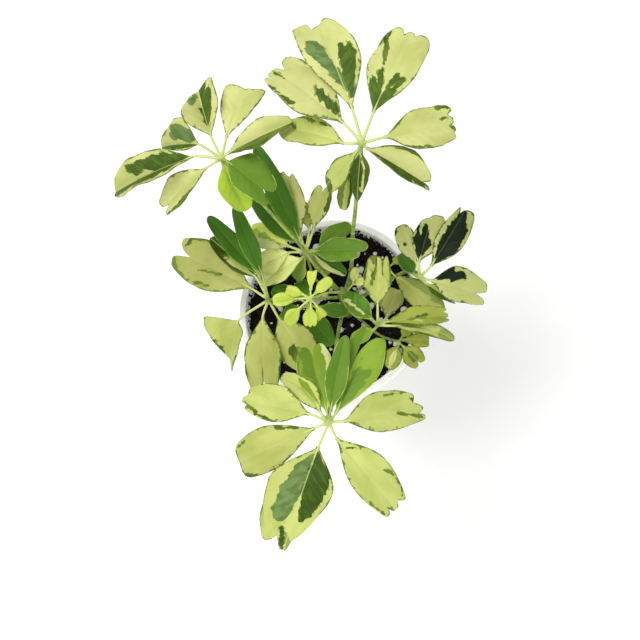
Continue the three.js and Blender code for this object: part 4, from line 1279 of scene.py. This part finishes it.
# %% Frond, middle
build_frond(
    "frond_middle",
    [(10.5, 1, 101), (5, 7, 106), (-3, 9, 113), (-5, 15, 127), (-5, 18, 136)], (0.9, 0.75),
    [
        [(103, -4, -4, 9, 38, 13, 20, 0, 0, 12), "left_peak", "ivory", [("dark", 0.85, 1.1, 0.55, 1.1)]],
        [(78, 6, -8, 13, 25, 12, 20, 0, 0, 10), "notched", "cream", [("green", 0.3, 1.1, -1.2, -0.62)]],
        [(101, 18, -10, 13, 16, 7, 14, 0, 0, 10), "oval", "pale", []],
        [(40, 20, -12, 7, 21, 11, 20, 0, 0, 10), "oval", "mid", []],
        [(-4, -4, 9, 4, 29, 13, 18, 0, 0, 12), "right_step", "mid", [("half", 0.1, 0.9, -0.6, 0.6)]],
        [(-30, -17, -24, 4, 20, 9, 18, 0, 0, 34), "oval", "dark", [("cream", -0.1, 1.1, -1.2, -0.3)]],
        [(-38, -11, -54, 4, 16, 8, 14, 0, 0, 18), "oval", "olive", []],
        # The leaflets here that take the lightest kinds have them as painted light, for the shade of the
        # fronds above them.
        [(-166, -30, -38, 4, 32, 14, 20, 0, 0, 18), "oval", "bright", []],
        [(-142, -30, -60, 4, 20, 11, 18, 0, 0, 18), "oval", "lime", []],
        [(150, -5, -20, 10, 29, 15, 22, 0, 0, 10), "blunt", "painted_sunlit",
         [("dark", 0.2, 0.16, 0.85, 0, 0.6, 1.2), ("cream", -0.1, 1.1, 0.2, 1.2)]],
        [(-170, 20, -33, 10, 24, 15, 20, 0, 0, 10), "blunt", "bright", []],
        [(131, 9, -8, 5, 43, 15, 20, 0, 4, 16), "oval", "dark", []],
        [(114, -1, 0, 6, 60, 12.5, 18, 0, 0, 18), "oval", "dark", []],
    ],
)

# %% [markdown]
# ## The fronds: young
# The youngest open frond has seven leaflets of 8 to 12 mm. Their green has hardly formed, so they are
# bright yellow-green. Its stalks are three quarters as thick as a grown frond's, and lime.

# %% Frond, young
build_frond(
    "frond_young",
    [(11, 1.5, 116), (9.5, -1.5, 128), (6, -5, 140), (0, -10, 150)], (0.75, 0.6),
    [
        [(84, -4, 6, 4, 10, 5, 12, 0, 0, 14), "wedge", "young", []],
        [(40, -5, 5, 3, 11, 6, 12, 0, 0, 14), "blunt", "young", []],
        [(159, 8, 6, 4, 9, 5.5, 12, 0, 0, 14), "bitten", "young", []],
        [(181, 4, -10, 7, 12.5, 7.5, 16, 0, 0, 22), "blunt", "young", [("half", 0.05, 0.9, -0.5, 0.5)]],
        [(-135, 9, -18, 7, 10.5, 7.5, 16, 0, 0, 14), "blunt", "young", [("half", 0.3, 1, -0.6, 0.1)]],
        [(-94, -3, -16, 4, 10, 7.5, 16, 0, 0, 10), "toothed", "young", []],
        [(-62, -10, -20, 4, 7.5, 5.5, 16, 0, 0, 14), "wedge", "young", []],
    ],
    slim=0.75,
    skin=LIME_STALK,
)

# %% [markdown]
# ## The fronds: inner green
# Five green leaflets with a thin pale rim lie low under the young frond. They are plain, so their rows
# carry no marks and the rim line alone gives the cream edge.

# %% Frond, inner green
build_frond(
    "frond_inner_green",
    [(10, -1, 94), (3, -3, 105), (-3, -4.5, 113), (-6, -5, 118)], (0.8, 0.65),
    [
        [(157, 8, -12, 6, 18, 11, 18, 0, 0, 12), "oval", "fresh", []],
        [(110, -7, -18, 4, 12, 10, 18, 0, 0, 12), "blunt", "fresh", []],
        [(-10, 14, -1, 5, 16, 8, 16, 0, 0, 10), "blunt", "fresh", []],
        [(-50, 70, -24, 5, 22, 13, 20, 0, 0, 14), "oval", "fresh", []],
        [(-162, 4, -25, 5, 15, 9, 18, 0, 0, 14), "oval", "fresh", []],
    ],
)

# %% [markdown]
# ## The fronds: right, crumpled
# This frond didn't unfold well. Its six leaflets are buckled, and one has a fringed end like a comb.
# Each gets its own mm of buckling, which lifts and drops the blade in uneven folds. A cloth simulation
# could crumple them too, but it would move them away from their places.

# %% Frond, right, crumpled
build_frond(
    "frond_right_crumpled",
    [(11, 0, 96), (16, -5, 106), (23, -12, 120), (31, -21, 135)], (1, 0.8),
    [
        [(87, -1, 12, 9, 25, 15, 12, 0, 0, 24), "comb", "cream",
         [("green", 0.5, 0.98, 0.8, 1.1), ("green", 0.62, 1, -0.42, -0.3), ("green", 0.6, 0.98, 0.1, 0.22),
          ("green", 0.4, 0.98, -1.1, -0.86), ("green", 0.45, 0.45, 0.75, 0.2, 0.7, 1.1)]],
        [(134, 2, -12, 4, 22, 11, 16, 0, 0, 20), "oval", "mid",
         [("dark", -0.1, 1.1, -1.2, -0.05), ("cream", 0.25, 0.2, 0.8, 0.35, 0.6, 1)]],
        [(78, 30, -41, 7, 26, 12, 14, 0, 0, 14), "blunt", "khaki", []],
        [(6, -15, -8, 4, 31, 11, 18, 0, 0, 18), "bitten", "olive",
         [("green", 0.52, 0.02, 0.68, 0.2, 1, 1), ("brown", 0.68, 0.2, 0.72, 0.3, 0.5, 0.4),
          ("green", 0, 0.6, -1, -0.7)]],
        [(-13, -9, -13, 7, 32, 8.5, 18, -34, 0, 30), "oval", "cream",
         [("half", 0.7, 1.1, -1.1, 1.1), ("green", 0.3, 0.8, -1.1, -0.7)]],
        [(-162, -26, -32, 3, 16, 8, 14, 0, 0, 18), "oval", "lime", []],
    ],
    crumple=(3, 0.5, 0.6, 0.9, 0.8, 0.5),
)

# %% [markdown]
# ## The fronds: right, low
# Four small olive green leaflets lie close under the crumpled frond and are slightly buckled as well.

# %% Frond, right, low
build_frond(
    "frond_right_low",
    [(10, -1.5, 88), (18, -9, 96), (30, -21, 110), (40, -27, 122)], (0.8, 0.65),
    [
        [(-1, -29, -16, 2, 14, 7.5, 16, 0, 0, 14), "cut", "olive", []],
        [(-46, -1, -26, 3, 13.5, 11, 16, 0, 0, 12), "notched", "olive", [("green", 0.2, 0.8, -0.4, 0.4)]],
        [(-119, -25, -38, 2, 15, 9.5, 16, 0, 0, 16), "oval", "olive",
         [("cream", 0.1, 0.95, -0.35, 0.3), ("green", 0.4, 1.1, -1.1, -0.7)]],
        [(52, 0, -8, 3, 8, 6, 12, 0, 0, 16), "oval", "olive", []],
    ],
    slim=0.75,
    crumple=(0.5, 0.6, 0.5, 0.3),
)

# %% [markdown]
# ## The fronds: right
# The right frond is older and darker than the rest, and part of that darkness is painted shade. Its four
# large leaflets have cream margins, and on three of them the centres are a green that looks almost black:
# a dark green with painted shade in it. One dry brown spot sits on the first.

# %% Frond, right
build_frond(
    "frond_right",
    [(10.5, 0, 92), (24, 6, 99), (42, 12, 111), (50, 9, 122), (52, 3, 133)], (1.1, 0.9),
    [
        [(111, 11, 0, 7, 22, 10.5, 16, 0, 0, 8), "blunt", "deep",
         [("brown", 0.53, 0.3, 0.52, 0.3, 0.9, 0.9), ("dark", 0.93, 0.63, 0.84, 0.73, 0.8, 0.5),
          ("grey", 0.1, -0.9, 0.8, -1, 0.7, 0.9)]],
        [(73, -16, 2, 8, 25, 16, 18, 0, 0, 10), "right_full", "deep",
         [("dark", 0.08, 0.07, 0.36, 0.12, 0.7, 4.4), ("dark", 0.39, 0.36, 0.66, 0.66, 1.8, 0.8),
          ("dark", 0.42, 0.06, 0.74, 0.18, 3.2, 0.9)]],
        [(57, 16, 5, 8, 33, 15, 18, 8, 0, 12), "shouldered", "deep",
         [("dark", 0.1, -0.15, 0.39, -0.3, 1.6, 5.5), ("dark", 0.39, -0.3, 0.68, -0.22, 5.7, 4.5),
          ("dark", 0.68, -0.22, 0.92, -0.02, 4.2, 1.6)]],
        [(-17, 0, -12, 6, 28, 18, 18, 0, 0, 10), "deep_split", "deep",
         [("dark", 0.07, 0.25, 0.25, 0.5, 1.5, 2.6), ("dark", 0.25, 0.5, 0.5, 0.74, 2.8, 2),
          ("dark", 0.16, 0.55, 0.28, 0.9, 1.2, 0.9), ("green", 0.97, -0.5, 0.99, -0.8, 0.7, 0.7)]],
        [(-32, 10, -27, 5, 18, 6, 14, 0, 0, 22), "point", "olive", [("dark", -0.1, 1.1, -1.2, -0.1)]],
        [(119, -28, -20, 3, 16, 8, 16, 0, 0, 16), "oval", "dark", []],
    ],
)

# %% [markdown]
# ## The fronds: right, inner
# One broad, half green leaflet and two tiny ones fill the gap between the stem and the right frond.

# %% Frond, right, inner
build_frond(
    "frond_right_inner",
    [(11, 1, 101), (18, 3, 111), (26, 7, 119), (36, 11, 126)], (0.8, 0.65),
    [
        [(-40, 17, -6, 5, 31, 13.5, 18, 0, 0, 8), "blunt", "pale", [("half", 0.2, 1.1, 0.3, 1.1)]],
        [(42, 0, -18, 3, 6, 5, 10, 0, 0, 16), "oval", "olive", []],
        [(150, 0, 16, 3, 8, 4.5, 10, 0, 0, 20), "oval", "olive", []],
    ],
    slim=0.75,
)

# %% [markdown]
# ## The bud
# The next frond is still a bud: two small folded leaflets at the stem's top. It is built as a very
# small frond, strongly folded, because that is what it is on the plant too.

# %% Bud
build_frond(
    "bud",
    [(11, 1.5, 111), (14, 3, 116), (16.5, 4.5, 119)], (0.7, 0.55),
    [
        # Both leaflets take a light kind as painted light, for the shade that they lie in.
        [(68, 0, 30, 1.5, 8.5, 5.5, 20, 0, 0, 30), "blunt", "bright", []],
        [(8, 0, 26, 1.5, 7, 5, 20, 0, 0, 30), "blunt", "bright", []],
    ],
    slim=0.75,
    skin=LIME_STALK,
)

# %% [markdown]
# ## The stem
# The main stem is short, green and a little woody at its foot, and old leaves leave ring scars on it. It
# could be turned from a cylinder, but it leans and bends, so it is swept like a petiole. Each scar is a
# small swelling of the rod with a dent above it, and the top is drawn in to close it softly.

# %% Stem
STEM_PATH = [(8.5, -3.5, 60), (9.5, -1.5, 84), (10.5, 0, 104), (11, 1.5, 121)]
STEM_RADII = (3.3, 2.3)  # mm, at the foot and at the top
SCARS = (0.34, 0.46, 0.57, 0.66, 0.76, 0.86, 0.95)  # shares of the stem's length
SCAR_HEIGHT, SCAR_HALF = 0.32, 0.008  # mm, and a share of the length
DENT_DEPTH, DENT_HALF, DENT_AFTER = 0.12, 0.01, 0.02  # mm, and two shares of the length
TOP_TAPER = (0.92, 0.75, 0.4)  # what is left of the last three radii


def make_stem():
    """The stem as one swept rod with ring scars."""
    path = smooth_path(STEM_PATH, 120)
    share = np.linspace(0, 1, len(path))
    radii = STEM_RADII[0] + (STEM_RADII[1] - STEM_RADII[0]) * share
    for scar in SCARS:
        radii += SCAR_HEIGHT * np.exp(-(((share - scar) / SCAR_HALF) ** 2))
        radii -= DENT_DEPTH * np.exp(-(((share - scar - DENT_AFTER) / DENT_HALF) ** 2))
    radii[-3:] *= TOP_TAPER
    stem = sweep_rods("stem", [(path, radii)], sides=28)
    bpy.ops.object.shade_smooth()
    return stem


finish_piece(make_stem(), STEM_SKIN, "stem", "main_stem")

# %% [markdown]
# ## The pot: its section
# A nursery pot is one thin moulding, so its section is drawn once as a chain of points. The foot is a ring
# with rounded edges, the wall leans outward and has a small step low down, and the lip is a band 7 mm
# high that stands out from the wall, with a rounded top.

# %% Section of the pot
POT_HEIGHT = 88  # mm, and all sizes of the pot are
POT_RIM = 52
POT_FOOT = 37
POT_WALL = 1.4
POT_FLOOR = 2
LIP_DROP = 7
LIP_OUT = 2.4
LIP_ROUND = 0.9
FOOT_RING = 6
FOOT_LIFT = 0.6
FOOT_ROUND = 1.2
STEP_UP, STEP_OUT = 9, 0.5  # the small step's height above the table, and how far it stands out


def wall_radius(z):
    """Outer radius of the plain wall at a height, in mm."""
    return POT_FOOT + (POT_RIM - LIP_OUT - POT_FOOT) * z / POT_HEIGHT


def inner_radius(z):
    """Inner radius of the wall at a height, in mm."""
    return wall_radius(z) - POT_WALL


def arc(centre, radius, start, stop, steps=5):
    """Points on an arc of the section, angles in degrees."""
    angles = np.radians(np.linspace(start, stop, steps))
    return [(centre[0] + radius * math.cos(a), centre[1] + radius * math.sin(a)) for a in angles]


def pot_section():
    """The section from the middle of the underside, up outside, over the lip and down inside."""
    lip, top, corner = POT_HEIGHT - LIP_DROP, POT_HEIGHT, POT_FLOOR + 2
    outer = [(0, FOOT_LIFT), (POT_FOOT - FOOT_RING, FOOT_LIFT), (POT_FOOT - FOOT_RING + 1, 0)]
    outer += arc((POT_FOOT - FOOT_ROUND, FOOT_ROUND), FOOT_ROUND, -90, 0)
    outer += [(wall_radius(STEP_UP), STEP_UP), (wall_radius(STEP_UP + 1) + STEP_OUT, STEP_UP + 0.6)]
    outer += [(wall_radius(lip - 1), lip - 1)]
    outer += arc((POT_RIM - LIP_ROUND, lip + LIP_ROUND), LIP_ROUND, -90, 0)
    outer += arc((POT_RIM - LIP_ROUND, top - LIP_ROUND), LIP_ROUND, 0, 90)
    inner = arc((inner_radius(top) + LIP_ROUND, top - LIP_ROUND), LIP_ROUND, 90, 180)
    inner += [(inner_radius(lip), lip), (inner_radius(lip - 2) - 0.3, lip - 2)]
    inner += [(inner_radius(corner), corner)]
    inner += arc((inner_radius(POT_FLOOR) - 2, corner), 2, 0, -90)
    return outer + inner + [(0, POT_FLOOR)]


print("the pot's section has", len(pot_section()), "points")

# %% [markdown]
# ## The pot: spinning and drilling
# The chain is spun round the axis, which is how the mould itself is turned. The spin leaves a seam and
# poles, so its doubled points are merged and its faces turned outward. Six cylinders then drill the drain
# holes in one boolean, where the mould has its pins.

# %% Pot
POT_STEPS = 128
MERGE = 0.02  # mm
DRAINS = 6
DRAIN_RADIUS = 3.5
DRAIN_CIRCLE = 25
DRILL_DEPTH = 8
CREASE = math.radians(35)  # edges sharper than this stay crisp


def spin_pot():
    """The section spun to a closed solid."""
    section = pot_section()
    mesh = bpy.data.meshes.new("pot")
    links = [(i, i + 1) for i in range(len(section) - 1)]
    mesh.from_pydata([(r * MM, 0, z * MM) for r, z in section], links, [])
    pot = bpy.data.objects.new("nursery_pot", mesh)
    bpy.context.collection.objects.link(pot)
    only(pot)
    bpy.ops.object.mode_set(mode="EDIT")
    bpy.ops.mesh.select_all(action="SELECT")
    bpy.ops.mesh.spin(steps=POT_STEPS, angle=2 * math.pi, center=(0, 0, 0), axis=(0, 0, 1))
    bpy.ops.mesh.select_all(action="SELECT")
    bpy.ops.mesh.remove_doubles(threshold=MERGE * MM)
    bpy.ops.mesh.normals_make_consistent(inside=False)
    bpy.ops.object.mode_set(mode="OBJECT")
    return pot


def drill_drains(pot):
    """Cuts the ring of drain holes through the floor."""
    drills = []
    for i in range(DRAINS):
        turn = (i + 0.5) / DRAINS * 2 * math.pi
        place = (DRAIN_CIRCLE * MM * math.cos(turn), DRAIN_CIRCLE * MM * math.sin(turn), 0)
        bpy.ops.mesh.primitive_cylinder_add(
            vertices=32, radius=DRAIN_RADIUS * MM, depth=DRILL_DEPTH * MM, location=place,
        )
        drills.append(bpy.context.object)
    drill = join(drills, "drain_drill")
    apply_modifier(pot, "BOOLEAN", operation="DIFFERENCE", object=drill, solver="EXACT")
    bpy.data.objects.remove(drill)
    only(pot)
    bpy.ops.object.shade_smooth_by_angle(angle=CREASE)


nursery_pot = spin_pot()
drill_drains(nursery_pot)
print("the pot has", DRAINS, "drain holes")

# %% [markdown]
# ## The pot finish
# The pot is moulded polypropylene. The polished mould leaves it smooth, and it reads as satin white with
# soft highlights: IOR 1.49 and roughness 0.4. It isn't quite one white, so a cloudy shade about 17 mm wide
# is laid in. Watering splashes soil on the inner wall. That dust lies in clumps of about 5 mm, is thicker
# near the soil and is dull, and single specks of about 1 mm stick among them. The moulded grain is about
# 0.1 mm, too fine to show, so it is drawn at 0.7 mm.

# %% Pot material
DUST_TOP, DUST_FOOT = 87.5, 79.5  # mm, where the dust thins out and where it is thickest
INNER_EDGE = 0.35  # mm inside the wall's thickness, where the inner side begins


def make_pot_material():
    """White polypropylene, moulded, with soil dust and specks on its inner wall."""
    material, tree = new_material("moulded_white_plastic")
    place = add(tree, "TexCoord", {}).outputs["Object"]
    x, y, height = add(tree, "SeparateXYZ", {0: place}).outputs
    flat = add(tree, "CombineXYZ", {0: x, 1: y})
    radius = add(tree, "VectorMath", {0: flat}, operation="LENGTH")
    taper, foot = (POT_RIM - LIP_OUT - POT_FOOT) / POT_HEIGHT, (POT_FOOT - POT_WALL + INNER_EDGE) * MM
    wall = add(tree, "Math", {0: height, 1: taper, 2: foot}, operation="MULTIPLY_ADD")
    inner = add(tree, "Math", {0: radius, 1: wall}, operation="SUBTRACT")
    inner = add(tree, "MapRange", {"Value": inner, "From Min": 0.2 * MM, "From Max": -0.2 * MM}, **SMOOTH)

    low = add(
        tree, "MapRange",
        {"Value": height, "From Min": DUST_TOP * MM, "From Max": DUST_FOOT * MM, "To Max": 0.5}, **SMOOTH,
    )
    clumps = add(tree, "TexNoise", {"Vector": place, "Scale": 210, "Detail": 4.0, "Roughness": 0.65})
    dust = add(tree, "Math", {0: low, 1: clumps}, operation="ADD")
    dust = add(tree, "MapRange", {"Value": dust, "From Min": 0.72, "From Max": 0.9}, **SMOOTH)
    dust = add(tree, "Math", {0: inner, 1: dust}, operation="MULTIPLY")
    specks = add(tree, "TexNoise", {"Vector": place, "Scale": 900, "Detail": 3.0, "Roughness": 0.7})
    specks = add(
        tree, "MapRange", {"Value": specks, "From Min": 0.6, "From Max": 0.66, "To Max": 0.8},
        **SMOOTH,
    )
    specks = add(tree, "Math", {0: inner, 1: specks}, operation="MULTIPLY")

    shade = add(tree, "TexNoise", {"Vector": place, "Scale": 60})
    shade = add(tree, "MapRange", {"Value": shade, "From Min": 0.35, "From Max": 0.7}, **SMOOTH)
    colour = add(tree, "Mix", {0: shade, 6: linear("#FBFBF8"), 7: linear("#F2F1EC")}, data_type="RGBA")
    cover = add(tree, "Math", {0: dust, 1: 0.85}, operation="MULTIPLY")
    colour = add(tree, "Mix", {0: cover, 6: colour, 7: linear("#3A332C")}, data_type="RGBA")
    colour = add(tree, "Mix", {0: specks, 6: colour, 7: linear("#2C231B")}, data_type="RGBA")

    gloss = add(tree, "Math", {0: dust, 1: 0.4, 2: 0.4}, operation="MULTIPLY_ADD")
    mould_grain = add(tree, "TexNoise", {"Vector": place, "Scale": 1500})
    bump = add(tree, "Bump", {"Strength": 0.08, "Distance": 0.2 * MM, "Height": mould_grain})
    plastic = add(tree, "BsdfPrincipled", {
        "Base Color": colour, "Roughness": gloss, "Normal": bump, "IOR": 1.49,
    })
    add(tree, "OutputMaterial", {"Surface": plastic})
    return material


finish_piece(nursery_pot, make_pot_material(), "pot_plastic", "pot")

# %% [markdown]
# ## The soil finish
# Potting mix is moist peat, bark fibre and expanded perlite. All of them are torn, ground or popped, and
# none has a smooth face, so they look dull: roughness 0.88, and little mirror light. Wet peat is nearly
# black, bark is brown, and perlite is a white glassy foam. Their shades change over about one grain, which
# is 2.4 mm in peat, 1.7 mm in bark and 1.1 mm in perlite, and a quarter of that roughens them.

# %% Soil material
def make_soil_material(name, dark, light, per_metre):
    """Loose, dull grains of two shades, with a broken surface."""
    material, tree = new_material(name)
    place = add(tree, "TexCoord", {}).outputs["Object"]
    shade = add(tree, "TexNoise", {"Vector": place, "Scale": per_metre, "Detail": 5.0, "Roughness": 0.65})
    shade = add(tree, "MapRange", {"Value": shade, "From Min": 0.45, "From Max": 0.7}, **SMOOTH)
    colour = add(tree, "Mix", {0: shade, 6: linear(dark), 7: linear(light)}, data_type="RGBA")
    broken = {"Vector": place, "Scale": per_metre * 4, "Detail": 3.0, "Roughness": 0.7}
    broken = add(tree, "TexNoise", broken)
    bump = add(tree, "Bump", {"Strength": 0.7, "Distance": 1.2 * MM, "Height": broken})
    earth = add(tree, "BsdfPrincipled", {
        "Base Color": colour, "Normal": bump, "Roughness": 0.88, "Specular IOR Level": 0.25,
    })
    add(tree, "OutputMaterial", {"Surface": earth})
    return material


PEAT = make_soil_material("moist_peat", "#0B0907", "#1E1812", 420)
BARK = make_soil_material("bark_fibre", "#3A2A1C", "#6B523A", 600)
PERLITE = make_soil_material("expanded_perlite", "#ECEAE6", "#FFFFFF", 900)
print("soil finishes:", PEAT.name, BARK.name, PERLITE.name)

# %% [markdown]
# ## The soil: its bed
# The bed gives the soil its body. It starts as a tapered plug that fills the pot. Its top face is inset
# again and again, which gives rings of faces to raise, and these are lifted into hollows, a mound round
# the stem and a fine roughness. The same height is used later to set the crumbs on it.

# %% Soil bed
SEED = 7
SOIL_LEVEL = 81  # mm, and all sizes of the soil are
SOIL_BUMP = 0.8
SOIL_ROUGH = 0.22
SOIL_RINGS = 34
SOIL_SIDES = 128
TOUCH = 0.3  # between the soil and the pot
FOOT_CLEAR = 1.4  # the plug's foot is this much narrower, to miss the pot's rounded inner corner
MOUND = 1.6
MOUND_CENTRE = (8, -3)
MOUND_SPREAD = 16


def soil_height(x, y):
    """The bed's height in mm: low hollows and a slight mound round the stem."""
    hollows = np.sin(x * 0.31 + 1.3) * np.cos(y * 0.27 - 0.4) + 0.6 * np.sin(x * 0.73 + y * 0.61)
    off = (x - MOUND_CENTRE[0]) ** 2 + (y - MOUND_CENTRE[1]) ** 2
    return SOIL_LEVEL + SOIL_BUMP * hollows + MOUND * np.exp(-off / MOUND_SPREAD**2)


def make_soil_bed(rng):
    """A tapered plug whose top is inset into rings and then raised and roughened."""
    edge = inner_radius(SOIL_LEVEL) - TOUCH
    foot = inner_radius(POT_FLOOR) - FOOT_CLEAR
    low = POT_FLOOR + TOUCH
    bpy.ops.mesh.primitive_cone_add(
        vertices=SOIL_SIDES, radius1=foot * MM, radius2=edge * MM, depth=(SOIL_LEVEL - low) * MM,
        location=(0, 0, (SOIL_LEVEL + low) / 2 * MM),
    )
    bed = bpy.context.object
    bed.name = "soil_bed"
    bpy.ops.object.transform_apply(location=True)
    bpy.ops.object.mode_set(mode="EDIT")
    bpy.ops.mesh.select_all(action="DESELECT")
    bpy.ops.object.mode_set(mode="OBJECT")
    for face in bed.data.polygons:
        face.select = face.normal.z > 0.9
    bpy.ops.object.mode_set(mode="EDIT")
    for _ in range(SOIL_RINGS):
        bpy.ops.mesh.inset(thickness=edge * MM / (SOIL_RINGS + 1))
    bpy.ops.object.mode_set(mode="OBJECT")
    points = points_of(bed)
    x, y, z = points.T / MM
    top = (z > SOIL_LEVEL - 0.5) & (np.hypot(x, y) < edge - 0.2)
    lift = soil_height(x, y) + rng.normal(0, SOIL_ROUGH, len(x))
    points[top, 2] = lift[top] * MM
    move_points(bed, points)
    return bed


rng = np.random.default_rng(SEED)
deselect()
finish_piece(make_soil_bed(rng), PEAT, "potting_soil", "soil")

# %% [markdown]
# ## The soil: one crumb
# A bump map can't give the crumbly edge that soil shows against a white pot, so the soil needs real
# crumbs. A particle system would strew them, but each has to be part of a plain mesh in the end. So one
# lump of twenty faces is made once, and every crumb is a copy of it, dented, stretched and turned by
# chance. The seed above gives the same chance each time.

# %% Crumbs
DENTS = 0.28  # share of its radius by which a lump's points move
FEW_LARGE = 2.2  # above 1, small grains outnumber large ones
LEAN = 0.5  # radians, how far lumps usually tip


def make_lump():
    """Points and faces of a small ball of twenty faces."""
    bpy.ops.mesh.primitive_ico_sphere_add(subdivisions=1, radius=1)
    lump = bpy.context.object
    points = points_of(lump)
    faces = np.array([list(face.vertices) for face in lump.data.polygons])
    bpy.data.objects.remove(lump)
    return points, faces


def crumb(lump_points, rng, flatten, size, stretch):
    """A dented, stretched and turned copy of the lump, in mm, and its size."""
    grain_size = size[0] + (size[1] - size[0]) * rng.uniform() ** FEW_LARGE
    copy = lump_points * (1 + rng.uniform(-DENTS, DENTS, (len(lump_points), 1)))
    copy = copy * np.array([stretch, 1, rng.uniform(*flatten)]) * grain_size
    turn = Matrix.Rotation(rng.uniform(0, 2 * math.pi), 3, "Z")
    lean = Matrix.Rotation(rng.normal(0, LEAN), 3, "Y")
    return copy @ np.array(turn @ lean).T, grain_size


print("a crumb has", len(make_lump()[1]), "faces")

# %% [markdown]
# ## The soil: loose crumbs
# Peat breaks into crumbs of 1 to 4 mm. They are strewn over the bed, evenly for its area, and sunk into
# it by about a third of their height, because crumbs that only touched it would cast hard shadows under
# themselves. None is put where the stem stands.

# %% Loose crumbs
STEM_FOOT = (9.2, -2.1)
STEM_CLEAR = 4.2  # no crumb lies closer to the stem's axis
CRUMB_EDGE = inner_radius(SOIL_LEVEL) - 2.5


def strew(name, rng, count, radii, flatten, size, lift=0.3, stretch=1.0):
    """Crumbs on the bed between two radii, each raised by a share of its size."""
    lump_points, lump_faces = make_lump()
    points, faces = [], []
    while len(points) < count:
        heading = rng.uniform(0, 2 * np.pi)
        out = radii[1] * math.sqrt(rng.uniform((radii[0] / radii[1]) ** 2, 1))
        x, y = out * math.cos(heading), out * math.sin(heading)
        if math.hypot(x - STEM_FOOT[0], y - STEM_FOOT[1]) < STEM_CLEAR:
            continue
        copy, grain_size = crumb(lump_points, rng, flatten, size, stretch)
        faces.append(lump_faces + len(points) * len(lump_points))
        points.append(copy + (x, y, soil_height(x, y) + grain_size * lift))
    mesh = bpy.data.meshes.new(name)
    mesh.from_pydata((np.vstack(points) * MM).tolist(), [], np.vstack(faces).tolist())
    piece = bpy.data.objects.new(name, mesh)
    bpy.context.collection.objects.link(piece)
    only(piece)
    bpy.ops.object.shade_smooth()
    return piece


crumbs = strew(
    "soil_crumbs", rng, count=1500, radii=(0, CRUMB_EDGE), flatten=(0.5, 0.95), size=(0.5, 2.1), lift=0.2,
)
finish_piece(crumbs, PEAT, "potting_soil")

# %% [markdown]
# ## The soil: crumbs on the wall
# Where the pot is filled, crumbs and bits of perlite stick to the wall above the soil, and fewer of them
# the higher up. They are strewn round the edge of the bed like the others, and each whole lump is then
# slid out to the wall and up.

# %% Clinging crumbs
CLING_DEPTH = 0.25  # how far a lump's middle stays off the wall
MOSTLY_LOW = 1.8  # above 1, more lumps stay near the soil


def cling(name, rng, count, climb, size):
    """Lumps stuck to the pot's inner wall, up to a climb above the bed."""
    lumps = strew(name, rng, count=count, radii=(0.99, 1), flatten=(0.5, 0.9), size=size)
    points = points_of(lumps).reshape(count, -1, 3) / MM
    for lump in points:
        centre = lump.mean(axis=0)
        height = SOIL_LEVEL + climb * rng.uniform() ** MOSTLY_LOW
        wall = inner_radius(height) - CLING_DEPTH
        lump += centre * (wall / math.hypot(centre[0], centre[1]) - 1) * (1, 1, 0)
        lump[:, 2] += height - centre[2]
    move_points(lumps, points.reshape(-1, 3) * MM)
    return lumps


on_wall = cling("clinging_crumbs", rng, count=420, climb=LIP_DROP * 0.8, size=(0.3, 1.2))
finish_piece(on_wall, PEAT, "potting_soil")
on_wall = cling("clinging_perlite", rng, count=160, climb=LIP_DROP * 0.5, size=(0.3, 0.9))
finish_piece(on_wall, PERLITE, "potting_soil")

# %% [markdown]
# ## The soil: bark and perlite
# Bark fibres are the same lump drawn out to four and a half times its width and pressed flat. Perlite
# grains are rounder and larger, and they come last, because they are light and lie on top.

# %% Bark and perlite
fibres = strew(
    "bark_fibres", rng, count=90, radii=(0, CRUMB_EDGE - 2), flatten=(0.3, 0.5), size=(0.35, 0.8),
    lift=0.9, stretch=4.5,
)
finish_piece(fibres, BARK, "potting_soil")
grains = strew(
    "perlite_grains", rng, count=210, radii=(0, CRUMB_EDGE), flatten=(0.7, 1), size=(0.5, 2.3), lift=0.65,
)
finish_piece(grains, PERLITE, "potting_soil")
